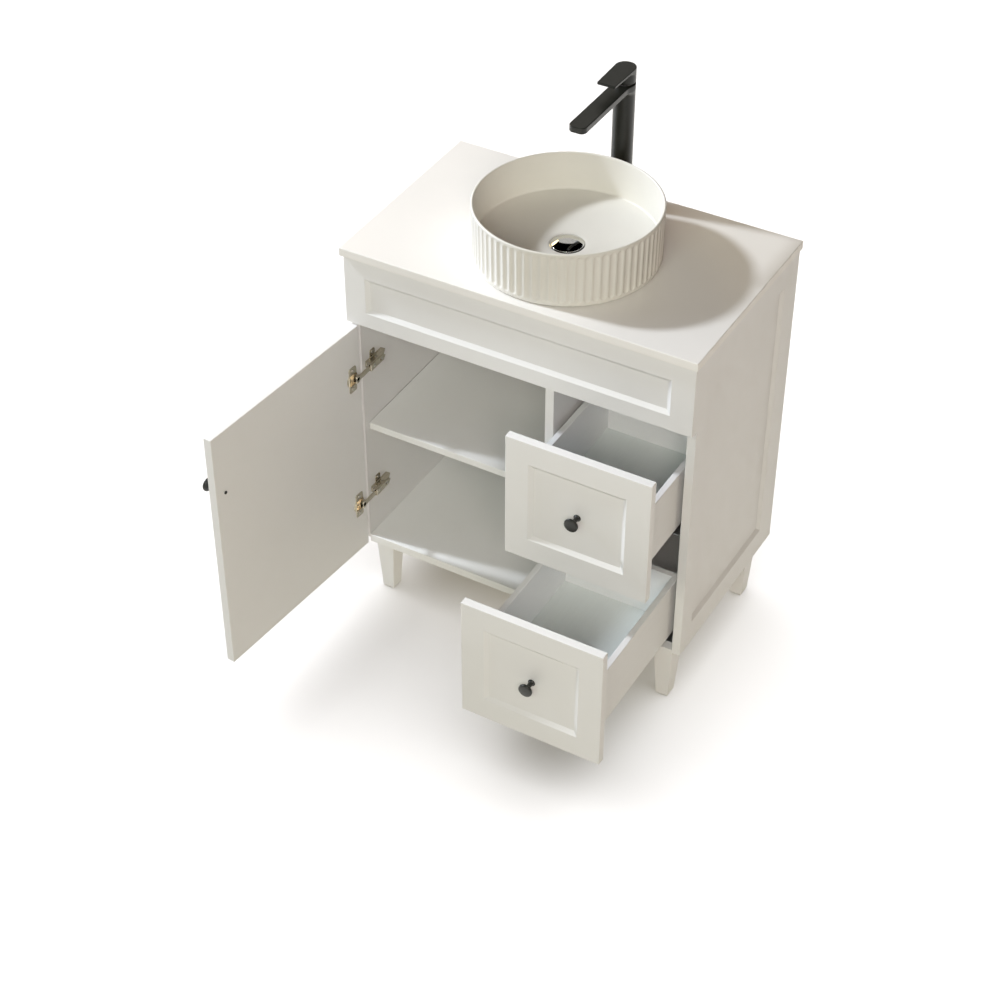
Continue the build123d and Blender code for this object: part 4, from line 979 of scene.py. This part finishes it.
def build_hinge_arms():
    """Channel arm with a sloping tail, slotted top, side rivets and adjusting screws."""
    back, top = arms_low.x, arms_high.x
    front, rear = arms_low.y, arms_high.y
    length = rear - front
    middle_y = (front + rear) / 2
    half_depth = (top - back) / 2

    def field(x, y, z):
        arm = box_field(x, y, z, (top - half_depth, middle_y, 0), (half_depth, length / 2, ARM_HALF), 1.6)
        tail = (y - (rear - ARM_TAIL)) * TAIL_SLOPE + (x - top)
        arm = np.maximum(arm, tail * TAIL_SCALE)
        hollow = box_field(x, y, z, (top - ARM_SHEET - 10.0, middle_y, 0),
                           (10.0, length, ARM_CHANNEL_HALF), 0.8)
        arm = cut(arm, hollow, 0.4)
        waist = box_field(x, y, np.abs(z), (top - 10.0, front + 24.0, ARM_HALF), (5.0, 9.0, 1.0), 0.8)
        arm = cut(arm, waist, 0.5)
        notch = box_field(x, y, z, (top, rear - 21.0, 0), (5.0, 8.0, 2.9), 2.4)
        return cut(arm, notch, 0.4)

    hinge_pieces("hinge_arm", field, (back - 1.5, front - 1.5, -10.0), (top + 1.5, rear + 1.5, 10.0), "root",
                 AT_HINGES)
    tops = [facing((top - 0.7, y, height), (1, 0, 0))
            for height in HINGE_HEIGHTS for y in (front + 13.0, rear - 22.0)]
    screw_head("hinge_adjusting_screws", tops, 3.6, 1.3, "root", None, 0.7)
    rivet = [(0, -8.9), (1.6, -8.9), (2.3, -8.5), (2.3, 8.5), (1.6, 8.9), (0, 8.9)]
    for index, height in enumerate(HINGE_HEIGHTS):
        for number, y in enumerate((front + 3.4, front + 31.0)):
            lathe(f"hinge_rivet_{index + 1}_{number + 1}", rivet, "root", "screw_steel",
                  Matrix.Translation((top - 8.9, y, height)), steps=32, closed=False)


def build_hinge_plates():
    """Cross-shaped mounting plate with slotted wings, one under each arm."""
    wall, spine_top = plates_low.x, plates_high.x
    front, rear = plates_low.y, plates_high.y
    half_depth = (spine_top - wall) / 2

    def field(x, y, z):
        spine = box_field(x, y, z, (wall + half_depth, (front + rear) / 2, 0),
                          (half_depth, (rear - front) / 2, 7.4), 0.7)
        wing = box_field(x, y, z, (wall + WING_THICKNESS / 2, WING_Y, 0),
                         (WING_THICKNESS / 2, WING_HALF_WIDTH, WING_HALF), 0.5)
        wing = np.maximum(wing, slot_field(y - WING_Y, z, WING_HALF_WIDTH, WING_HALF, 4.0))
        plate = np.maximum(joined(spine, wing, 1.5), wall - x)
        for side in (-SLOT_OFFSET, SLOT_OFFSET):
            dent = slot_field(y - WING_Y, z - side, 5.5, 0.9, 0.8)
            plate = cut(plate, np.maximum(dent, wall + 1.2 - x), 0.3)
        return plate

    hinge_pieces("hinge_plate", field, (wall - 1.0, front - 1.5, -25.5), (spine_top + 1.5, rear + 1.5, 25.5),
                 "root", AT_HINGES)
    seats = [facing((wall + 1.9, WING_Y, height + side), (1, 0, 0))
             for height in HINGE_HEIGHTS for side in (-PLATE_SCREW_OFFSET, PLATE_SCREW_OFFSET)]
    screw_head("hinge_plate_fixings", seats, 4.0, 1.8, "root", "hinge_plate_screws", 0.62)


build_hinge_cups()
build_hinge_links()
build_hinge_arms()
build_hinge_plates()


# ---- Drawer slides and leg glides ----

RAIL_SHEET = 1.2
CABINET_RAIL_WIDTH = 27.4
RAIL_WIDTHS = {"middle": 16.0, "drawer": 18.0}
RAIL_LIP = 4.5
GLIDE_RADIUS = 11.75
# Lays an extrusion along z down along y.
UPRIGHT = Matrix(((1, 0, 0, 0), (0, 0, -1, 0), (0, 1, 0, 0), (0, 0, 0, 1)))


def angle_outline(right, low, high, width):
    """L-shaped rail on the cabinet's side: a web against the side and a foot that carries the rest."""
    return filleted([
        (right, low, 1.2), (right, high, 0.4), (right - RAIL_SHEET, high, 0.4),
        (right - RAIL_SHEET, low + RAIL_SHEET, 0.5), (right - width, low + RAIL_SHEET, 0.4),
        (right - width, low, 0.4),
    ], 3)


def channel_outline(right, low, high, width):
    """C-shaped rail, open below, with its edges folded in."""
    left = right - width
    return filleted([
        (right, low, 0.8), (right, high, 1.2), (left, high, 1.2), (left, low, 0.8),
        (left + RAIL_LIP, low, 0.3),
        (left + RAIL_LIP, low + RAIL_SHEET, 0.3), (left + RAIL_SHEET, low + RAIL_SHEET, 0.6),
        (left + RAIL_SHEET, high - RAIL_SHEET, 0.6), (right - RAIL_SHEET, high - RAIL_SHEET, 0.6),
        (right - RAIL_SHEET, low + RAIL_SHEET, 0.6), (right - RAIL_LIP, low + RAIL_SHEET, 0.3),
        (right - RAIL_LIP, low, 0.3),
    ], 3)


def build_slides():
    """Folded steel rails of the undermount slides, in the places of their plain CAD rails."""
    for level in ("upper", "lower"):
        bodies = {"cabinet": "root", "middle": f"{level}_middle_slide", "drawer": f"{level}_drawer"}
        for member, body in bodies.items():
            node = f"{level}_{member}_rails"
            low, high = box_mm(node)
            if member == "cabinet":
                points = angle_outline(high.x, low.z, high.z, CABINET_RAIL_WIDTH)
            else:
                points = channel_outline(high.x, low.z, high.z, RAIL_WIDTHS[member])
            mirror = Matrix.Translation((low.x + high.x, 0, 0)) @ Matrix.Scale(-1, 4, (1, 0, 0))
            rail = prism(f"{level}_{member}_slide_rails", points, -high.y, -low.y, body, "slide_steel",
                         copies=[UPRIGHT, mirror @ UPRIGHT])
            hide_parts(node)


def build_glides():
    """Round nylon glide with a rounded rim under each leg."""
    low, high = box_mm("leg_glides")
    profile = [(0, high.z), (GLIDE_RADIUS, high.z), (GLIDE_RADIUS, low.z + 1.2),
               (GLIDE_RADIUS - 0.4, low.z + 0.4), (GLIDE_RADIUS - 1.2, low.z), (3.0, low.z),
               (2.4, low.z + 0.8), (0, low.z + 0.8)]
    for index, leg in enumerate(LEGS):
        middle = middle_mm(leg)
        place = Matrix.Translation((middle.x, middle.y, 0))
        glide = lathe(f"glide_{index + 1}", profile, "root", "glide_plastic", place, steps=64, closed=False)
        if index == 0:
            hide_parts("leg_glides")


build_slides()
build_glides()


# ---- Stage, in metres ----

FLOOR_HALF = 70.0
MIDDLE = (0.0, -0.3, 0.7)


def build_floor():
    """Plain pale floor."""
    mesh = bpy.data.meshes.new("floor")
    corners = [(x * FLOOR_HALF, y * FLOOR_HALF, 0) for x, y in ((-1, -1), (1, -1), (1, 1), (-1, 1))]
    mesh.from_pydata(corners, [], [(0, 1, 2, 3)])
    floor = add_object("floor", mesh)
    tree, principled, place = shader("floor_paper")
    colour_between(tree, principled, noise(tree, place, 1.5), (0.93, 0.93, 0.925), (0.95, 0.95, 0.945))
    principled.inputs["Roughness"].default_value = 0.8
    mesh.materials.append(materials["floor_paper"])
    floor.visible_diffuse = False  # the light that it throws back is a light of its own
    floor.visible_shadow = False
    return floor


def area_light(name, target, turn, elevation, distance, size, power, colour, receivers):
    """Round soft light on a target; turn and elevation, in degrees, give the direction it shines in."""
    across = math.radians(turn)
    down = math.radians(elevation)
    level = math.cos(down)
    direction = Vector((math.cos(across) * level, math.sin(across) * level, -math.sin(down)))
    data = bpy.data.lights.new(name, "AREA")
    data.shape = "DISK"
    data.size = size
    data.energy = power
    data.color = colour
    light = add_object(name, data)
    light.location = Vector(target) - direction * distance
    light.rotation_euler = direction.to_track_quat("-Z", "Y").to_euler()
    light.light_linking.receiver_collection = receivers
    light.visible_camera = False


def receiver_group(name, state, members):
    """Group of light receivers that takes in or leaves out its members."""
    group = bpy.data.collections.new(name)
    for member in members:
        group.objects.link(member)
    for link in group.collection_objects:
        link.light_linking.link_state = state
    return group


def overhead_light(receivers):
    """Even light from a wide patch of sky straight above."""
    data = bpy.data.lights.new("overhead", "SUN")
    data.energy = 2.2
    data.angle = math.radians(90.0)
    light = add_object("overhead", data)
    light.location = (0.0, 0.0, 6.0)
    light.light_linking.receiver_collection = receivers


def build_lights(floor):
    """Key from the left, broad fills on every side, a lit floor and the light that it throws back.

    The key leaves out the left side panel, which it would burn out.
    """
    object_only = receiver_group("all_but_floor", "EXCLUDE", [floor])
    screened = receiver_group("all_but_left_side", "EXCLUDE", [floor, nodes["side_panel_left"]])
    floor_only = receiver_group("floor_alone", "INCLUDE", [floor])
    area_light("key", (0.009, -0.26, 0.9), 8.5, 34.3, 5.5, 0.49, 298.0, (0.88, 0.93, 1.0), screened)
    for name, turn, elevation, distance, size, power, colour in (
        ("left_window", 10.0, 15.0, 4.0, 3.0, 70.0, (0.74, 0.80, 1.0)),
        ("left_wall", 330.0, 25.0, 4.5, 2.5, 58.0, (1.0, 0.80, 0.46)),
        ("right_wall", 190.0, 25.0, 4.5, 2.5, 20.0, (1.0, 0.90, 0.70)),
        ("front_fill", 100.0, 30.0, 4.5, 2.5, 58.0, (0.86, 1.0, 0.88)),
        ("camera_fill", 120.0, 30.0, 4.0, 1.2, 52.0, (1.0, 0.87, 0.80)),
        ("backdrop", 296.0, 38.0, 4.5, 2.6, 10.0, (1.0, 0.97, 0.92)),
    ):
        area_light(name, MIDDLE, turn, elevation, distance, size, power, colour, object_only)
    area_light("ceiling", (0.0, -0.6, 0.0), 0.0, 89.9, 5.5, 11.0, 420.0, (1.0, 1.0, 1.0), floor_only)
    overhead_light(floor_only)
    area_light("floor_bounce", (0.0, -0.4, 1.0), 0.0, -89.9, 0.998, 6.0, 38.0, (1.0, 0.97, 0.78), object_only)
    world = bpy.data.worlds.new("studio")
    world.use_nodes = True
    sky = world.node_tree.nodes["Background"]
    sky.inputs["Color"].default_value = (1.0, 0.55, 0.47, 1)
    sky.inputs["Strength"].default_value = 0.052
    bpy.context.scene.world = world
    world.cycles_visibility.glossy = False
    bpy.context.scene.view_settings.view_transform = "Standard"


def build_camera():
    """Camera at the height of a standing person's view, looking down from the right."""
    data = bpy.data.cameras.new("camera")
    data.lens = 77.83
    data.sensor_width = 36.0
    data.shift_x = 0.059
    data.shift_y = 0.025
    data.clip_end = 150.0
    camera = add_object("camera", data)
    camera.location = (1.6164, -3.3224, 3.1607)
    camera.rotation_euler = [math.radians(a) for a in (49.537, 0.964, 31.024)]
    bpy.context.scene.camera = camera


build_lights(build_floor())
build_camera()
